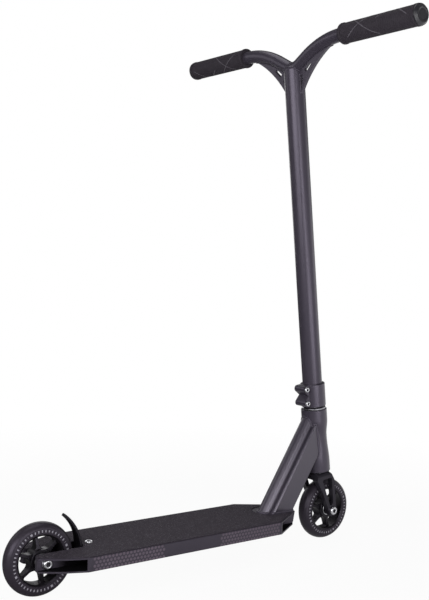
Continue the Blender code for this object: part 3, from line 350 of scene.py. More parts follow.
def printed_ring(material, centre):
    """How inked a spot of a tyre is: ticks all round its side bands, with dots in four gaps."""
    spot = add(material, "TexCoord").outputs["Object"]
    place = add(material, "Mapping", {"Vector": spot, "Location": [-part for part in centre]})
    parts = add(material, "SeparateXYZ", {"Vector": place}).outputs
    across = add(material, "CombineXYZ", {"X": parts["X"], "Z": parts["Z"]})
    out = add(material, "VectorMath", {0: across}, operation="LENGTH")
    turn = add(material, "Math", {0: parts["Z"], 1: parts["X"]}, operation="ARCTAN2")

    def ring(count, share, height, shift):
        """1 on marks spread evenly round the side band, each a share of its pitch wide."""
        pitches = {0: turn, 1: count / (2 * pi), 2: shift}
        pitches = add(material, "Math", pitches, operation="MULTIPLY_ADD")
        part = add(material, "Math", {0: pitches}, operation="FRACT")
        on = add(material, "Math", {0: part, 1: 0.5, 2: share / 2}, operation="COMPARE")
        near = add(material, "Math", {0: out, 1: print_radius, 2: height}, operation="COMPARE")
        return add(material, "Math", {0: on, 1: near}, operation="MULTIPLY")

    dots = ring(dot_count, 0.05, mark_reach, dot_shift)
    gaps = ring(dot_count, 0.16, gap_reach, dot_shift)
    ticks = ring(tick_count, 0.3, mark_reach, 0.5)
    ticks = add(material, "Math", {0: ticks, 1: gaps}, operation="SUBTRACT")
    marks = add(material, "Math", {0: ticks, 1: dots}, operation="MAXIMUM")
    return add(material, "Math", {0: marks, 1: ink_strength}, operation="MULTIPLY")


for end, body, place in wheels:
    high = reach(end + "_tyre", place)[1]
    inner = reach(end + "_wheel_core", place)[1].x
    half = high.z
    crown = [
        (high.x - crown_depth + crown_depth * out, half * up)
        for out, up in arc((0, 0), 1, pi / 2, -pi / 2, 40)
    ]
    profile = crown + [
        (inner + tread_lip, -half), (inner, tread_lip - half), (inner, half - tread_lip),
        (inner + tread_lip, half),
    ]
    tyre = turned(end + "_tyre_cast", profile, place, 128)
    # Cast polyurethane, left from the mould: a soft wide gloss over a grey that barely clouds.
    polyurethane = grained(
        end + "_cast_polyurethane", "#252127", "#2b272e", 0.3, (0.34, 0.46), 1.5, 0.06,
        cloud=(18, 4), depth=0.0004,
    )
    laid_over(polyurethane, "#a3a0aa", printed_ring(polyurethane, place.translation))
    fitted(tyre, polyurethane, body, "wheel_tyre", end + "_tyre")


# Wheel cores
# Each core is one aluminium casting, machined and anodised black: a thin rim and a hub joined
# by six spokes, whose windows are arched at the hub. The tyre is cast round the rim.

def plate(outlines, low, high, edge):
    """A flat outline with holes made solid from low to high, with its rims rounded by edge."""
    mesh = bmesh.new()
    for outline in outlines:
        points = [mesh.verts.new((x, y, low)) for x, y in outline]
        for pair in zip(points, points[1:] + points[:1]):
            mesh.edges.new(pair)
    bmesh.ops.triangle_fill(mesh, edges=mesh.edges, use_beauty=True, normal=(0, 0, 1))
    top = bmesh.ops.extrude_face_region(mesh, geom=mesh.faces[:])["geom"]
    raised = [part for part in top if isinstance(part, bmesh.types.BMVert)]
    bmesh.ops.translate(mesh, vec=(0, 0, high - low), verts=raised)
    bmesh.ops.recalc_face_normals(mesh, faces=mesh.faces)
    if edge:
        rims = [
            line for line in mesh.edges
            if line.calc_face_angle(0) > pi / 4
            and abs(line.verts[0].co.z - line.verts[1].co.z) < 1e-7
        ]
        bmesh.ops.bevel(
            mesh, geom=rims, offset=edge, offset_type="OFFSET", segments=3, profile=0.5,
            affect="EDGES", material=-1, clamp_overlap=True,
        )
    return mesh


def carved(piece, tool, operation="DIFFERENCE"):
    """The piece cut by, joined with or kept inside another, which is used up."""
    step = piece.modifiers.new(operation.lower(), "BOOLEAN")
    step.object = tool
    step.operation = operation
    step.solver = "EXACT"
    graph = bpy.context.evaluated_depsgraph_get()
    data = bpy.data.meshes.new_from_object(piece.evaluated_get(graph))
    piece.modifiers.clear()
    piece.data = data
    bpy.data.objects.remove(tool)
    data.shade_smooth()
    data.set_sharp_from_angle(angle=sharp_angle)
    return piece


def held(share, low=0, high=1):
    """A share kept between two limits."""
    return min(high, max(low, share))


def drum(name, radius, low, high, place, steps=96, edges=(0, 0)):
    """A turned cylinder from low to high, with its upper and its lower edge rounded."""
    corners = [(0, high), (radius, high), (radius, low), (0, low)]
    return turned(name, rounded(corners, [0, *edges, 0], closed=False), place, steps)


# Black anodising leaves the blasted grain of the aluminium: deep, with a soft metal sheen.
core_anodising = grained(
    "black_anodised_casting", "#121013", "#0c0b0d", 0.3, (0.3, 0.42), 0.9, 0.1
)
core_radius = reach("front_wheel_core", front_place)[1].x
core_sides = 128
spokes = 6
spoke_angles = {"rear": radians(40), "front": radians(44)}
spoke_width = 0.0052
spoke_root = 0.6
spoke_tip = 0.36
spoke_edge = 0.0008
window_corner = 0.0024
rim_wall = 0.0025
rim_half = 0.0104
rim_middle = core_radius - rim_wall / 2
hub_radius = 0.0165
fit_gap = 0.0003
core_bore = 0.009
bore_chamfer = 0.0005


def spoke_window():
    """The opening between two spokes, centred on +X and arched where it meets the hub."""
    half_pitch = pi / spokes
    side = spoke_width / 2
    rim = core_radius - rim_wall
    arch = (hub_radius * sin(half_pitch) - side) / (1 - sin(half_pitch))
    corner = rim - window_corner
    spread = half_pitch - asin(side / rim) - window_corner / rim
    near = half_pitch - asin(side / corner)
    outer = arc((0, 0), rim, -spread, spread, 12)
    inner = arc((hub_radius + arch, 0), arch, pi / 2 + half_pitch, 3 * pi / 2 - half_pitch, 14)
    corner_up = (corner * cos(near), corner * sin(near))
    return outer + [corner_up] + inner + [(corner_up[0], -corner_up[1])]


for end, body, place in wheels:
    half = reach(end + "_wheel_core", place)[1].z
    outlines = [arc((0, 0), rim_middle, 0, 2 * pi * (core_sides - 1) / core_sides, core_sides - 1)]
    for spoke in range(spokes):
        turn = spoke_angles[end] + (spoke + 0.5) * 2 * pi / spokes
        outlines.append([
            (x * cos(turn) - y * sin(turn), -x * sin(turn) - y * cos(turn))
            for x, y in spoke_window()
        ])
    spoked = plate(outlines, -half, half, spoke_edge)
    for vertex in spoked.verts:
        out = hypot(vertex.co.x, vertex.co.y)
        share = held((out - hub_radius) / (rim_middle - hub_radius))
        vertex.co.z *= spoke_root + (spoke_tip - spoke_root) * share
    core = made(end + "_wheel_core_cast", spoked, place)
    rim = rounded([
        (core_radius - fit_gap, half - fit_gap),
        (core_radius - fit_gap, fit_gap - half),
        (core_radius - rim_wall, -rim_half), (core_radius - rim_wall, rim_half),
    ], [0.0002, 0.0002, 0.0008, 0.0008])
    carved(core, turned("rim", rim, place, core_sides), "UNION")
    carved(core, drum("hub", hub_radius, -half, half, place, edges=(0.001, 0.001)), "UNION")
    bearing_low, bearing_high = reach(end + "_bearing_left", place)
    pocket = bearing_high.x + fit_gap
    pocket_floor = bearing_low.z - fit_gap
    hole = [
        (0, half + core_bore), (pocket + core_bore, half + core_bore),
        (pocket, half - bore_chamfer), (pocket, pocket_floor), (core_bore, pocket_floor),
        (core_bore, -pocket_floor), (pocket, -pocket_floor), (pocket, bore_chamfer - half),
        (pocket + core_bore, -half - core_bore), (0, -half - core_bore),
    ]
    carved(core, turned("bore", hole, place))
    fitted(core, core_anodising, body, "black_metal", end + "_wheel_core")


# Wheel bearings, washers, bolts and nuts
# Bearing steel rings with black rubber seals are pressed in the hubs. A bright zinc-plated
# button-head bolt runs through each wheel from the right, and a nut holds it on the left.

# What bare metals have in common, and what rubbers and hard plastics have.
bare_metal = {"cloud": (6, 2), "detail": 4, "depth": 0.0001, "tint": "#ffffff", "metallic": 1}
powdery = {"cloud": (14, 3), "detail": 5, "tint": "#ffffff"}
# Zinc plating over steel: bright and slightly cloudy, sharper than brushed steel.
zinc = grained(
    "zinc_plated_steel", "#d9d9de", "#c7c7cb", 0.5, (0.21, 0.36), 0.5, 0.1, **bare_metal
)
# Moulded nitrile rubber: black and powdery, with next to no gloss.
seal_rubber = grained(
    "nitrile_seal_rubber", "#1b1a1d", "#131215", 0.12, (0.52, 0.68), 0.6, 0.2, **powdery
)
# Painted shade: the sockets' walls and floors are painted dark, since their depth keeps the light out.
painted_socket_shade = grained(
    "painted_shade_in_sockets", "#2a292c", "#161518", 0.2, (0.44, 0.56), 0.5, 0.2
)
axle_hole = 0.0043
axle_head_height = 0.0041
socket_share = 0.46
socket_flare = 1.16
socket_bevel = 0.0002
steel_edge = 0.0003
thread_bevel = 0.0005


def painted(piece, material, place, chosen):
    """One more material, on the faces whose middle and normal, in a place's axes, are chosen."""
    piece.data.materials.append(material)
    inverse = place.inverted()
    for face in piece.data.polygons:
        if chosen(inverse @ face.center, inverse.to_3x3() @ face.normal):
            face.material_index = len(piece.data.materials) - 1


def button_bolt(name, head_radius, head_height, shank, length, place, body, node):
    """Turned button head with a hexagonal socket, and its shank, seated at the place's origin."""
    socket = head_radius * socket_share
    socket_floor = head_height * 0.3
    flat_radius = head_radius * 0.72
    edge_drop = head_height * 0.65
    crown = [
        (flat_radius + (head_radius - flat_radius) * across, head_height - edge_drop * (1 - up))
        for up, across in arc((0, 0), 1, 0, pi / 2, 10)
    ]
    profile = [
        (0, socket_floor - socket / 3), (socket, socket_floor),
        (socket, head_height - socket_bevel), (socket * socket_flare + socket_bevel, head_height),
    ]
    profile += crown + [
        (head_radius, steel_edge), (head_radius - steel_edge, 0), (shank, 0),
        (shank, thread_bevel - length), (shank - thread_bevel, -length), (0, -length),
    ]
    bolt = turned(name, profile, place, hexed=(1, 2))
    fitted(bolt, zinc, body, "bright_steel", node)
    # The socket's faces take the painted shade.
    painted(bolt, painted_socket_shade, place, lambda spot, normal: (
        hypot(spot.x, spot.y) < socket * socket_flare
        and 0 < spot.z < head_height - 1.05 * socket_bevel
    ))


def hex_nut(name, flats, height, bore, place):
    """Nut with its corners chamfered by a cone, seated at the place's origin."""
    across = flats / 2
    profile = [
        (bore + thread_bevel, height), (across * 0.97, height), (across, height * 0.93),
        (across, height * 0.07), (across * 0.97, 0), (bore + thread_bevel, 0),
        (bore, thread_bevel), (bore, height - thread_bevel),
    ]
    return turned(name, profile, place, hexed=(2, 3))


seal_inner = 0.0062
seal_inset = 0.0004
seal_depth = 0.0002
seal_clear = 0.0001
outer_ring = 0.0016
for end, body, place in wheels:
    held_by = "deck" if end == "rear" else "steering"
    for side in ("left", "right"):
        node = end + "_bearing_" + side
        low, high = reach(node, place)
        seal_outer = high.x - outer_ring
        top, bottom = high.z - seal_inset, low.z + seal_inset
        rings = [
            (high.x - steel_edge, high.z), (high.x, high.z - steel_edge),
            (high.x, low.z + steel_edge), (high.x - steel_edge, low.z), (seal_outer, low.z),
            (seal_outer, bottom), (seal_inner, bottom), (seal_inner, low.z), (axle_hole, low.z),
            (axle_hole, high.z), (seal_inner, high.z), (seal_inner, top), (seal_outer, top),
            (seal_outer, high.z),
        ]
        fitted(turned(node + "_rings", rings, place), zinc, body, "bright_steel", node)
        face, inward = (high.z, -seal_depth) if side == "left" else (low.z, seal_depth)
        near, far = face + inward, face + 3 * inward
        seal = [
            (seal_outer - seal_clear, near), (seal_outer - seal_clear, far),
            (seal_inner + seal_clear, far), (seal_inner + seal_clear, near),
        ]
        fitted(turned(node + "_seal", seal, place), seal_rubber, body, "bright_steel")
    low, high = reach(end + "_axle_bolt", place)
    head_seat = low.z + axle_head_height
    from_right = place @ Matrix.Translation((0, 0, head_seat)) @ Matrix.Rotation(pi, 4, "X")
    button_bolt(
        end + "_axle_bolt_plated", head_radius=high.x, head_height=axle_head_height, shank=0.004,
        length=high.z - head_seat, place=from_right, body=held_by, node=end + "_axle_bolt",
    )
    low, high = reach(end + "_axle_nut", place)
    nut_place = place @ Matrix.Translation((0, 0, low.z))
    nut = hex_nut(
        end + "_axle_nut_plated", flats=0.013, height=high.z - low.z, bore=0.0041,
        place=nut_place,
    )
    fitted(nut, zinc, held_by, "bright_steel", end + "_axle_nut")

washer_edge = 0.0004
for side in ("left", "right"):
    node = "rear_axle_washer_" + side
    low, high = reach(node, rear_place)
    corners = [(high.x, high.z), (high.x, low.z), (axle_hole, low.z), (axle_hole, high.z)]
    washer = turned(node + "_plated", rounded(corners, [washer_edge] * 4), rear_place)
    fitted(washer, zinc, "deck", "bright_steel", node)


# Deck
# One hollow aluminium extrusion with two inner webs, mitred at both ends and anodised graphite.
# Its edges are broken, and its sides are laser-marked with a honeycomb near both ends.

def refined(name, node, width):
    """A CAD node's copy, its triangles merged into faces and its edges broken by a width."""
    mesh = bmesh.new()
    mesh.from_mesh(frame["nodes"][node].data)
    bmesh.ops.remove_doubles(mesh, verts=mesh.verts, dist=1e-6)
    bmesh.ops.dissolve_limit(mesh, angle_limit=radians(1), verts=mesh.verts, edges=mesh.edges)
    lines = [line for line in mesh.edges if line.calc_face_angle(0) > radians(30)]
    bmesh.ops.bevel(
        mesh, geom=lines, offset=width, offset_type="OFFSET", segments=2, profile=0.5,
        affect="EDGES", material=-1, clamp_overlap=True,
    )
    return made(name, mesh, Matrix())


# Graphite anodising over blasted aluminium: a cool violet grey with a fine even grain.
deck_look = ("#37333b", "#302c34", 0.5, (0.28, 0.4), 0.8, 0.1)
graphite_anodising = grained("graphite_anodised_aluminium", *deck_look)
# The laser bleaches the anodising, so the cells are paler, warmer and duller than the wall.
laser_mark = grained(
    "laser_marked_anodising", "#5b515b", "#534a54", 0.4, (0.44, 0.56), 0.5, 0.2
)
# Painted shade: the faces in the hollows are painted near black, as little light reaches them there.
painted_hollow_shade = grained(
    "painted_shade_in_the_hollows", "#121114", "#0b0a0c", 0.05, (0.54, 0.66), 0.8, 0.1
)
# Painted shade: the webs are graphite at the mitred ends, painted to gloss-less black further in.
web_painted_shade = grained("webs_with_painted_shade", *deck_look)
deck_edge = 0.00035
plate_thickness = 0.0024
side_thickness = 0.0015
lit_depth = 0.026
dark_depth = 0.046
web_gloss = 0.5
deck_low, deck_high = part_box("deck")
deck_middle = (deck_low.x + deck_high.x) / 2
half_length = (deck_high.x - deck_low.x) / 2
along = add(web_painted_shade, "TexCoord").outputs["Object"]
along = add(web_painted_shade, "SeparateXYZ", {0: along}).outputs["X"]
along = add(web_painted_shade, "Math", {0: along, 1: deck_middle}, operation="SUBTRACT")
along = add(web_painted_shade, "Math", {0: along}, operation="ABSOLUTE")
painted_shade_share = add(web_painted_shade, "MapRange", {
    "Value": along, "From Min": half_length - dark_depth, "From Max": half_length - lit_depth,
    "To Min": 1, "To Max": 0,
})
# The painted shade takes the webs' gloss away as it deepens.
gloss = {0: painted_shade_share, 1: -web_gloss, 2: web_gloss}
gloss = add(web_painted_shade, "Math", gloss, operation="MULTIPLY_ADD")
laid_over(web_painted_shade, "#0e0d10", painted_shade_share)
web_shader = web_painted_shade.node_tree.nodes["Principled BSDF"]
web_painted_shade.node_tree.links.new(gloss.outputs[0], web_shader.inputs["Specular IOR Level"])


def hollow_spot(spot):
    """Whether a spot of the deck lies between its top and its bottom plate."""
    return deck_low.z + plate_thickness < spot.z < deck_high.z - plate_thickness


deck = refined("deck_extrusion", "deck", deck_edge)
fitted(deck, graphite_anodising, "deck", "graphite_anodising", "deck")
# The faces inside the hollows take the painted shade.
painted(deck, painted_hollow_shade, Matrix(), lambda spot, normal: (
    hollow_spot(spot) and abs(spot.y) < deck_high.y - side_thickness and abs(normal.x) < 0.1
))
# The webs take the painted shade that deepens away from the deck's ends.
painted(deck, web_painted_shade, Matrix(), lambda spot, normal: (
    hollow_spot(spot) and abs(spot.y) < deck_high.y / 2 and abs(normal.y) > 0.5
))

marked_stretches = ((-0.2335, -0.104), (0.0, 0.1275))
cell_pitch = 0.0062
cell_radius = 0.0024
cell_height = 0.0001
cell_rows = 4
row_pitch = cell_pitch * sqrt(3) / 2
side_middle = (deck_low.z + deck_high.z) / 2
upright = Matrix.Rotation(pi / 2, 4, "X") @ Matrix.Rotation(pi / 6, 4, "Z")
cells = bmesh.new()
for start, end in marked_stretches:
    for row in range(cell_rows):
        height = side_middle + (row - (cell_rows - 1) / 2) * row_pitch
        shift = cell_pitch / 2 * (row % 2)
        for column in range(ceil((start - shift) / cell_pitch), floor((end - shift) / cell_pitch)):
            x = column * cell_pitch + shift + cell_radius
            for side in (-1, 1):
                spot = Matrix.Translation((x, side * (deck_high.y + cell_height / 2), height))
                bmesh.ops.create_cone(
                    cells, cap_ends=True, segments=6, radius1=cell_radius, radius2=cell_radius,
                    depth=cell_height, matrix=spot @ upright,
                )
fitted(made("deck_honeycomb", cells, Matrix()), laser_mark, "deck", "graphite_anodising")


# Grip tape
# Silicon-carbide grit glued on a plastic sheet, cut 1 mm short of the deck's edges and in a U
# round the neck. It is nearly black, without gloss, and single grains carry painted glints.

# Black grit in resin. The grains are drawn 1 mm wide, coarser than the real 0.3 mm, and the
# specks with painted glints 1.3 mm, so that both show.
grit_width = 1.0
speck_width = 1.3
grit = grained(
    "silicon_carbide_grit", "#332e35", "#3d3840", 0.1, (0.95, 0.6), speck_width, 0.55,
    cloud=(22, 4), detail=2, depth=0.0005, tint="#ffffff",
)
grit_nodes = grit.node_tree.nodes
# Painted glints: pale specks in the grit's colour stand in for grains catching the light.
painted_glint = add(grit, "MapRange", {"Value": grit_nodes["grain"], "From Min": 0.6, "From Max": 0.72})
laid_over(grit, "#6f6a72", painted_glint)
grains = add(grit, "TexVoronoi", {
    "Vector": add(grit, "TexCoord").outputs["Object"], "Scale": 1000 / grit_width,
})
grit.node_tree.links.new(grains.outputs["Distance"], grit_nodes["relief"].inputs["Height"])
tape_edge = 0.0002
tape = refined("grip_tape_sheet", "grip_tape", tape_edge)
fitted(tape, grit, "deck", "grip_tape", "grip_tape")


# Brake
# One spring-steel blade, pressed with two ribs and painted black. Its foot is bolted in the
# deck's channel, and its tail runs over the tyre.

# Satin black paint over spring steel: deep, with a broad soft highlight.
black_paint = grained("black_satin_paint", "#100f12", "#0c0b0e", 0.15, (0.28, 0.4), 1.1, 0.1)
brake_pivot = Vector(joints["brake_flex"]["pos_m"])
brake_start = atan2(brake_pivot.z - rear_axle.z, brake_pivot.x - rear_axle.x)
brake_end = radians(56)
wheel_radius = reach("rear_tyre", rear_place)[1].x
root_gap = 0.0096
tip_gap = 0.015
blade_thickness = 0.0042
blade_width = 0.0225
tip_width = 0.0085
# Where the blade starts to taper and where its groove lies, as shares of its length.
taper_from = 0.04
groove_from = 0.02
groove_to = 0.93
# How fast the groove sinks in and rises out, and the least share of its depth.
groove_rise = 6
groove_fall = 8
least_groove = 0.02
rib_width = 0.0028
groove_depth = 0.002
blade_softness = 0.0006
blade_steps = 40
foot_low, foot_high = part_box("brake_foot")


def blade_section(width, groove):
    """The blade's section as (across, outward): a flat back, and a groove between two ribs."""
    half = width / 2
    rib = min(rib_width, half * 0.6)
    corners = [
        (-half, 0), (-half + rib, 0), (-half + rib + groove / 2, groove),
        (half - rib - groove / 2, groove), (half - rib, 0), (half, 0), (half, blade_thickness),
        (-half, blade_thickness),
    ]
    soft = blade_softness
    return rounded(corners, [soft, soft, 0.0004, 0.0004, soft, soft, 0.001, 0.001], 3)


blade = bmesh.new()
last_ring = []
for step in range(blade_steps + 1):
    along = step / blade_steps
    angle = brake_start + (brake_end - brake_start) * along
    radius = wheel_radius + root_gap + (tip_gap - root_gap) * along
    taper = held((along - taper_from) / (1 - taper_from))
    width = blade_width + (tip_width - blade_width) * taper
    rise = held((along - groove_from) * groove_rise, least_groove)
    depth = groove_depth * rise * held((groove_to - along) * groove_fall, least_groove)
    out = Vector((cos(angle), 0, sin(angle)))
    section = [
        blade.verts.new(rear_axle + out * (radius + height) + Vector((0, across, 0)))
        for across, height in blade_section(width, depth)
    ]
    ring = [blade.edges.new(pair) for pair in zip(section, section[1:] + section[:1])]
    if last_ring:
        bmesh.ops.bridge_loops(blade, edges=last_ring + ring)
    if step in (0, blade_steps):
        blade.faces.new(section)
    last_ring = ring
brake = made("brake_blade_pressed", blade, Matrix())
foot_corners = [
    (brake_pivot.x - 0.0012, foot_high.z), (foot_high.x, foot_high.z), (foot_high.x, foot_low.z),
    (brake_pivot.x + 0.002, foot_low.z),
]
foot_outline = rounded(foot_corners, [0.001, 0.0015, 0.0015, 0.002])
foot = plate([foot_outline], foot_low.y, foot_high.y, 0.0006)
carved(brake, made("foot", foot, Matrix.Rotation(pi / 2, 4, "X")), "UNION")
brake.data.materials.append(black_paint)
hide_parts("brake_blade", "brake_foot")
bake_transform(brake)

bolt_low, bolt_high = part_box("brake_bolt")
bolt_x = (bolt_low.x + bolt_high.x) / 2
brake_head_height = 0.0026
head_seat = bolt_high.z - brake_head_height
button_bolt(
    "brake_bolt_plated", head_radius=(bolt_high.y - bolt_low.y) / 2,
    head_height=brake_head_height, shank=0.003, length=head_seat - bolt_low.z,
    place=Matrix.Translation((bolt_x, 0, head_seat)), body="deck", node="brake_bolt",
)
nut_low, nut_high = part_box("brake_nut")
nut_place = Matrix.Translation((bolt_x, 0, nut_low.z))
nut_height = nut_high.z - nut_low.z
brake_nut = hex_nut(
    "brake_nut_plated", flats=0.010, height=nut_height, bore=0.0031, place=nut_place
)
fitted(brake_nut, zinc, "deck", "bright_steel", "brake_nut")


# Head tube and headset
# The head tube is turned aluminium, waisted between two flares and anodised graphite. A
# polished aluminium cap covers the upper bearing, and steel rings sit under it.

steer = joints["steering_turn"]
tilt = atan2(-steer["axis"][0], steer["axis"][2])
steering = Matrix.Translation(steer["pos_m"]) @ Matrix.Rotation(-tilt, 4, "Y")
# The frame's anodising is polished by its tumbling, so it shines more than the deck's.
frame_anodising = grained(
    "tumbled_graphite_anodising", "#322e37", "#2c2831", 0.7, (0.26, 0.38), 0.8, 0.06
)
head_low, head_high = reach("head_tube", steering)
flare_radius = head_high.y
waist_radius = 0.0203
lower_flare = (0.0155, 0.0625)
upper_flare = (0.020, 0.048)
head_edge = 0.0006
head_pocket = 0.0212
pocket_depth = 0.0106
head_bore = 0.0158
steerer_hole = 0.0146


def head_radius(height):
    """The head tube's outer radius at a height along the steering axis."""
    above = height - head_low.z
    below = head_high.z - height
    for distance, (near, far) in ((above, lower_flare), (below, upper_flare)):
        if distance < far:
            share = held((far - distance) / (far - near))
            return waist_radius + (flare_radius - waist_radius) * (1 - cos(pi * share)) / 2
    return waist_radius


top, bottom = head_high.z - head_edge, head_low.z + head_edge
heights = [top + (bottom - top) * step / 60 for step in range(61)]
outside = [(head_radius(height), height) for height in heights]
upper_floor, lower_floor = head_high.z - pocket_depth, head_low.z + pocket_depth
profile = [(flare_radius - head_edge, head_high.z)] + outside
profile += [
    (flare_radius - head_edge, head_low.z), (head_pocket + head_edge / 2, head_low.z),
    (head_pocket, head_low.z + head_edge / 2), (head_pocket, lower_floor),
    (head_bore, lower_floor), (head_bore, upper_floor), (head_pocket, upper_floor),
    (head_pocket, head_high.z - head_edge / 2), (head_pocket + head_edge / 2, head_high.z),
]
head_tube = turned("head_tube_turned", profile, steering, 128)
fitted(head_tube, frame_anodising, "deck", "graphite_anodising", "head_tube")

# Polished aluminium, with a mirror sharp enough to show the dark clamp above it.
polished = grained(
    "polished_aluminium", "#98979d", "#8b8a8f", 0.5, (0.05, 0.2), 0.7, 0.1, **bare_metal
)
low, high = reach("headset_cap", steering)
cap_bevel = 0.0018
cap = rounded([
    (high.y - cap_bevel, high.z), (high.y, high.z - cap_bevel), (high.y, low.z),
    (steerer_hole, low.z), (steerer_hole, high.z),
], [0.0006, 0.0006, 0.0004, 0.0002, 0.0004])
headset_cap = turned("headset_cap_polished", cap, steering, 128)
fitted(headset_cap, polished, "steering", "polished_aluminium", "headset_cap")
headset = (
    ("headset_bearing_lower", "deck"), ("headset_bearing_upper", "deck"),
    ("crown_race", "steering"), ("compression_ring", "steering"),
)
for node, body in headset:
    low, high = reach(node, steering)
    corners = [(high.y, high.z), (high.y, low.z), (steerer_hole, low.z), (steerer_hole, high.z)]
    ring = turned(node + "_ring", rounded(corners, [steel_edge] * 4, 2), steering)
    fitted(ring, zinc, body, "bright_steel", node)


# Neck
# A drawn box tube with a half-round rib down its rear face, coped round the head tube, welded
# to it and to the deck, and anodised graphite with them. The weld beads stay visible.

# The drawn tube is smoother than the turned pieces, so its seal coat shows a stronger sheen.
neck_anodising = grained(
    "drawn_graphite_anodising", "#2b2730", "#252229", 0.9, (0.26, 0.38), 0.8, 0.04
)
sealed = neck_anodising.node_tree.nodes["Principled BSDF"]
sealed.inputs["Coat Weight"].default_value = 0.4
sealed.inputs["Coat Roughness"].default_value = 0.32
neck_setback = 0.0303
neck_join = 0.0864
neck_width = 0.038
neck_front = 0.0249
neck_shoulders = 0.0146
neck_wall = 0.003
weld_rise = 0.0004
rib_radius = 0.0121
rib_stand = 0.0017
front_round = 0.003
rear_round = 0.004
neck_depth = neck_front + neck_shoulders + rib_stand + rib_radius
deck_top = deck_high.z
neck_foot = Vector((deck_high.x - neck_setback, 0, deck_top))
neck_head = steering @ Vector((0, 0, head_low.z + neck_join))
neck_slope = atan2(neck_head.z - neck_foot.z, neck_head.x - neck_foot.x)
neck_run = (neck_head - neck_foot).length
neck_place = Matrix.Translation(neck_foot) @ Matrix.Rotation(pi / 2 - neck_slope, 4, "Y")
neck_ahead = (neck_place.to_3x3() @ Vector((0, 0, 1))).normalized()


def neck_outline(inset, front_rounding, rear_rounding, steps, rib_steps):
    """The neck's section as (forward, across), drawn in by inset."""
    half = neck_width / 2 - inset
    front = neck_front - inset
    rear = neck_shoulders - inset
    corners = rounded([(front, -half), (front, half), (-rear, half), (-rear, -half)],
                      [front_rounding, front_rounding, rear_rounding, rear_rounding], steps)
    rib_middle = neck_shoulders + rib_stand
    edge = asin((rib_middle - rear) / (rib_radius - inset))
    rib = arc((-rib_middle, 0), rib_radius - inset, pi / 2 - edge, 3 * pi / 2 + edge, rib_steps)
    before_rib = 3 * (steps + 1)
    return corners[:before_rib] + rib + corners[before_rib:]


def block(low, high, place):
    """A box between two corners in the axes of a place, used as a cutter."""
    mesh = bmesh.new()
    bmesh.ops.create_cube(mesh, size=1)
    size = [top - bottom for bottom, top in zip(low, high)]
    middle = [(top + bottom) / 2 for bottom, top in zip(low, high)]
    bmesh.ops.scale(mesh, vec=size, verts=mesh.verts)
    bmesh.ops.translate(mesh, vec=middle, verts=mesh.verts)
    return made("block", mesh, place)


# The cutters here and below reach well past the piece that they cut.
neck_section = neck_outline(0, front_round, rear_round, 8, 40)
hollow = neck_outline(neck_wall, front_round / 2, front_round / 2, 3, 24)
tube = plate([neck_section, hollow], -neck_depth, neck_run + neck_depth / 2, 0)
neck = made("neck_tube", tube, neck_place)
carved(neck, block((0, -0.05, -0.05), (0.3, 0.05, deck_top + 0.0001), Matrix()))
cope = [(0, 0.3), (flare_radius, 0.3)] + outside + [(flare_radius, 0), (0, 0)]
carved(neck, turned("cope", cope, steering))
carved(neck, block((0, -0.05, 0), (0.1, 0.05, 0.3), steering))
fitted(neck, neck_anodising, "deck", "graphite_anodising", "neck")


def rod(name, points, radius, roundness, place, swell=None):
    """A round rod along points in the axes of a place, with its radius swelled at each point."""
    curve = bpy.data.curves.new(name, "CURVE")
    curve.dimensions = "3D"
    curve.bevel_depth = radius
    curve.bevel_resolution = roundness
    curve.use_fill_caps = True
    spline = curve.splines.new("POLY")
    spline.points.add(len(points) - 1)
    for index, point in enumerate(spline.points):
        point.co = (*points[index], 1)
        point.radius = swell[index] if swell else 1
    holder = bpy.data.objects.new(name, curve)
    bpy.context.scene.collection.objects.link(holder)
    graph = bpy.context.evaluated_depsgraph_get()
    mesh = bmesh.new()
    mesh.from_mesh(bpy.data.meshes.new_from_object(holder.evaluated_get(graph)))
    bpy.data.objects.remove(holder)
    bmesh.ops.remove_doubles(mesh, verts=mesh.verts, dist=1e-6)
    return made(name, mesh, place)


def bead(name, path, width, ripple, place=Matrix()):
    """A weld bead along a path: a round rope of metal that swells with every ripple."""
    path = [Vector(point) for point in path]
    length = [0.0]
    for before, after in zip(path, path[1:]):
        length.append(length[-1] + (after - before).length)
    count = max(8, round(length[-1] / (ripple / 4)))
    points, swell = [], []
    index = 0
    for number in range(count + 1):
        goal = length[-1] * number / count
        while index < len(path) - 2 and length[index + 1] < goal:
            index += 1
        share = (goal - length[index]) / max(1e-9, length[index + 1] - length[index])
        points.append(path[index].lerp(path[index + 1], min(1, share)))
        swell.append(0.86 + 0.14 * abs(sin(pi * goal / ripple)))
    return rod(name, points, width / 2, roundness=3, place=place, swell=swell)


def meets_head_tube(forward, across):
    """Where a line along the neck from a point of its section meets the head tube."""
    start = neck_place @ Vector((forward, across, 0))
    inverse = steering.inverted()

    def clear(distance):
        point = inverse @ (start + neck_ahead * distance)
        return hypot(point.x, point.y) - head_radius(point.z)

    near, end = 0.0, neck_run + neck_depth
    far = next(end * step / 400 for step in range(401) if clear(end * step / 400) < 0)
    for halving in range(30):
        middle = (near + far) / 2
        if clear(middle) > 0:
            near = middle
        else:
            far = middle
    return start + neck_ahead * near


def meets_deck(forward, across):
    """Where a line along the neck from a point of its section meets the deck's top."""
    point = neck_place @ Vector((forward, across, 0))
    return point + neck_ahead * ((deck_top + weld_rise - point.z) / neck_ahead.z)


closed_section = neck_section + neck_section[:1]
head_path = [meets_head_tube(x, y) for x, y in closed_section]
head_weld = bead("neck_head_weld", head_path, width=0.0042, ripple=0.0016)
fitted(head_weld, frame_anodising, "deck", "graphite_anodising")
foot_path = [meets_deck(x, y) for x, y in closed_section]
foot_weld = bead("neck_foot_weld", foot_path, width=0.0046, ripple=0.0018)
fitted(foot_weld, frame_anodising, "deck", "graphite_anodising")


# Fork
# Machined from one block of aluminium and anodised black: a round crown over two flat legs,
# each opened by a long triangular window. Its steel steerer is pressed in the crown.

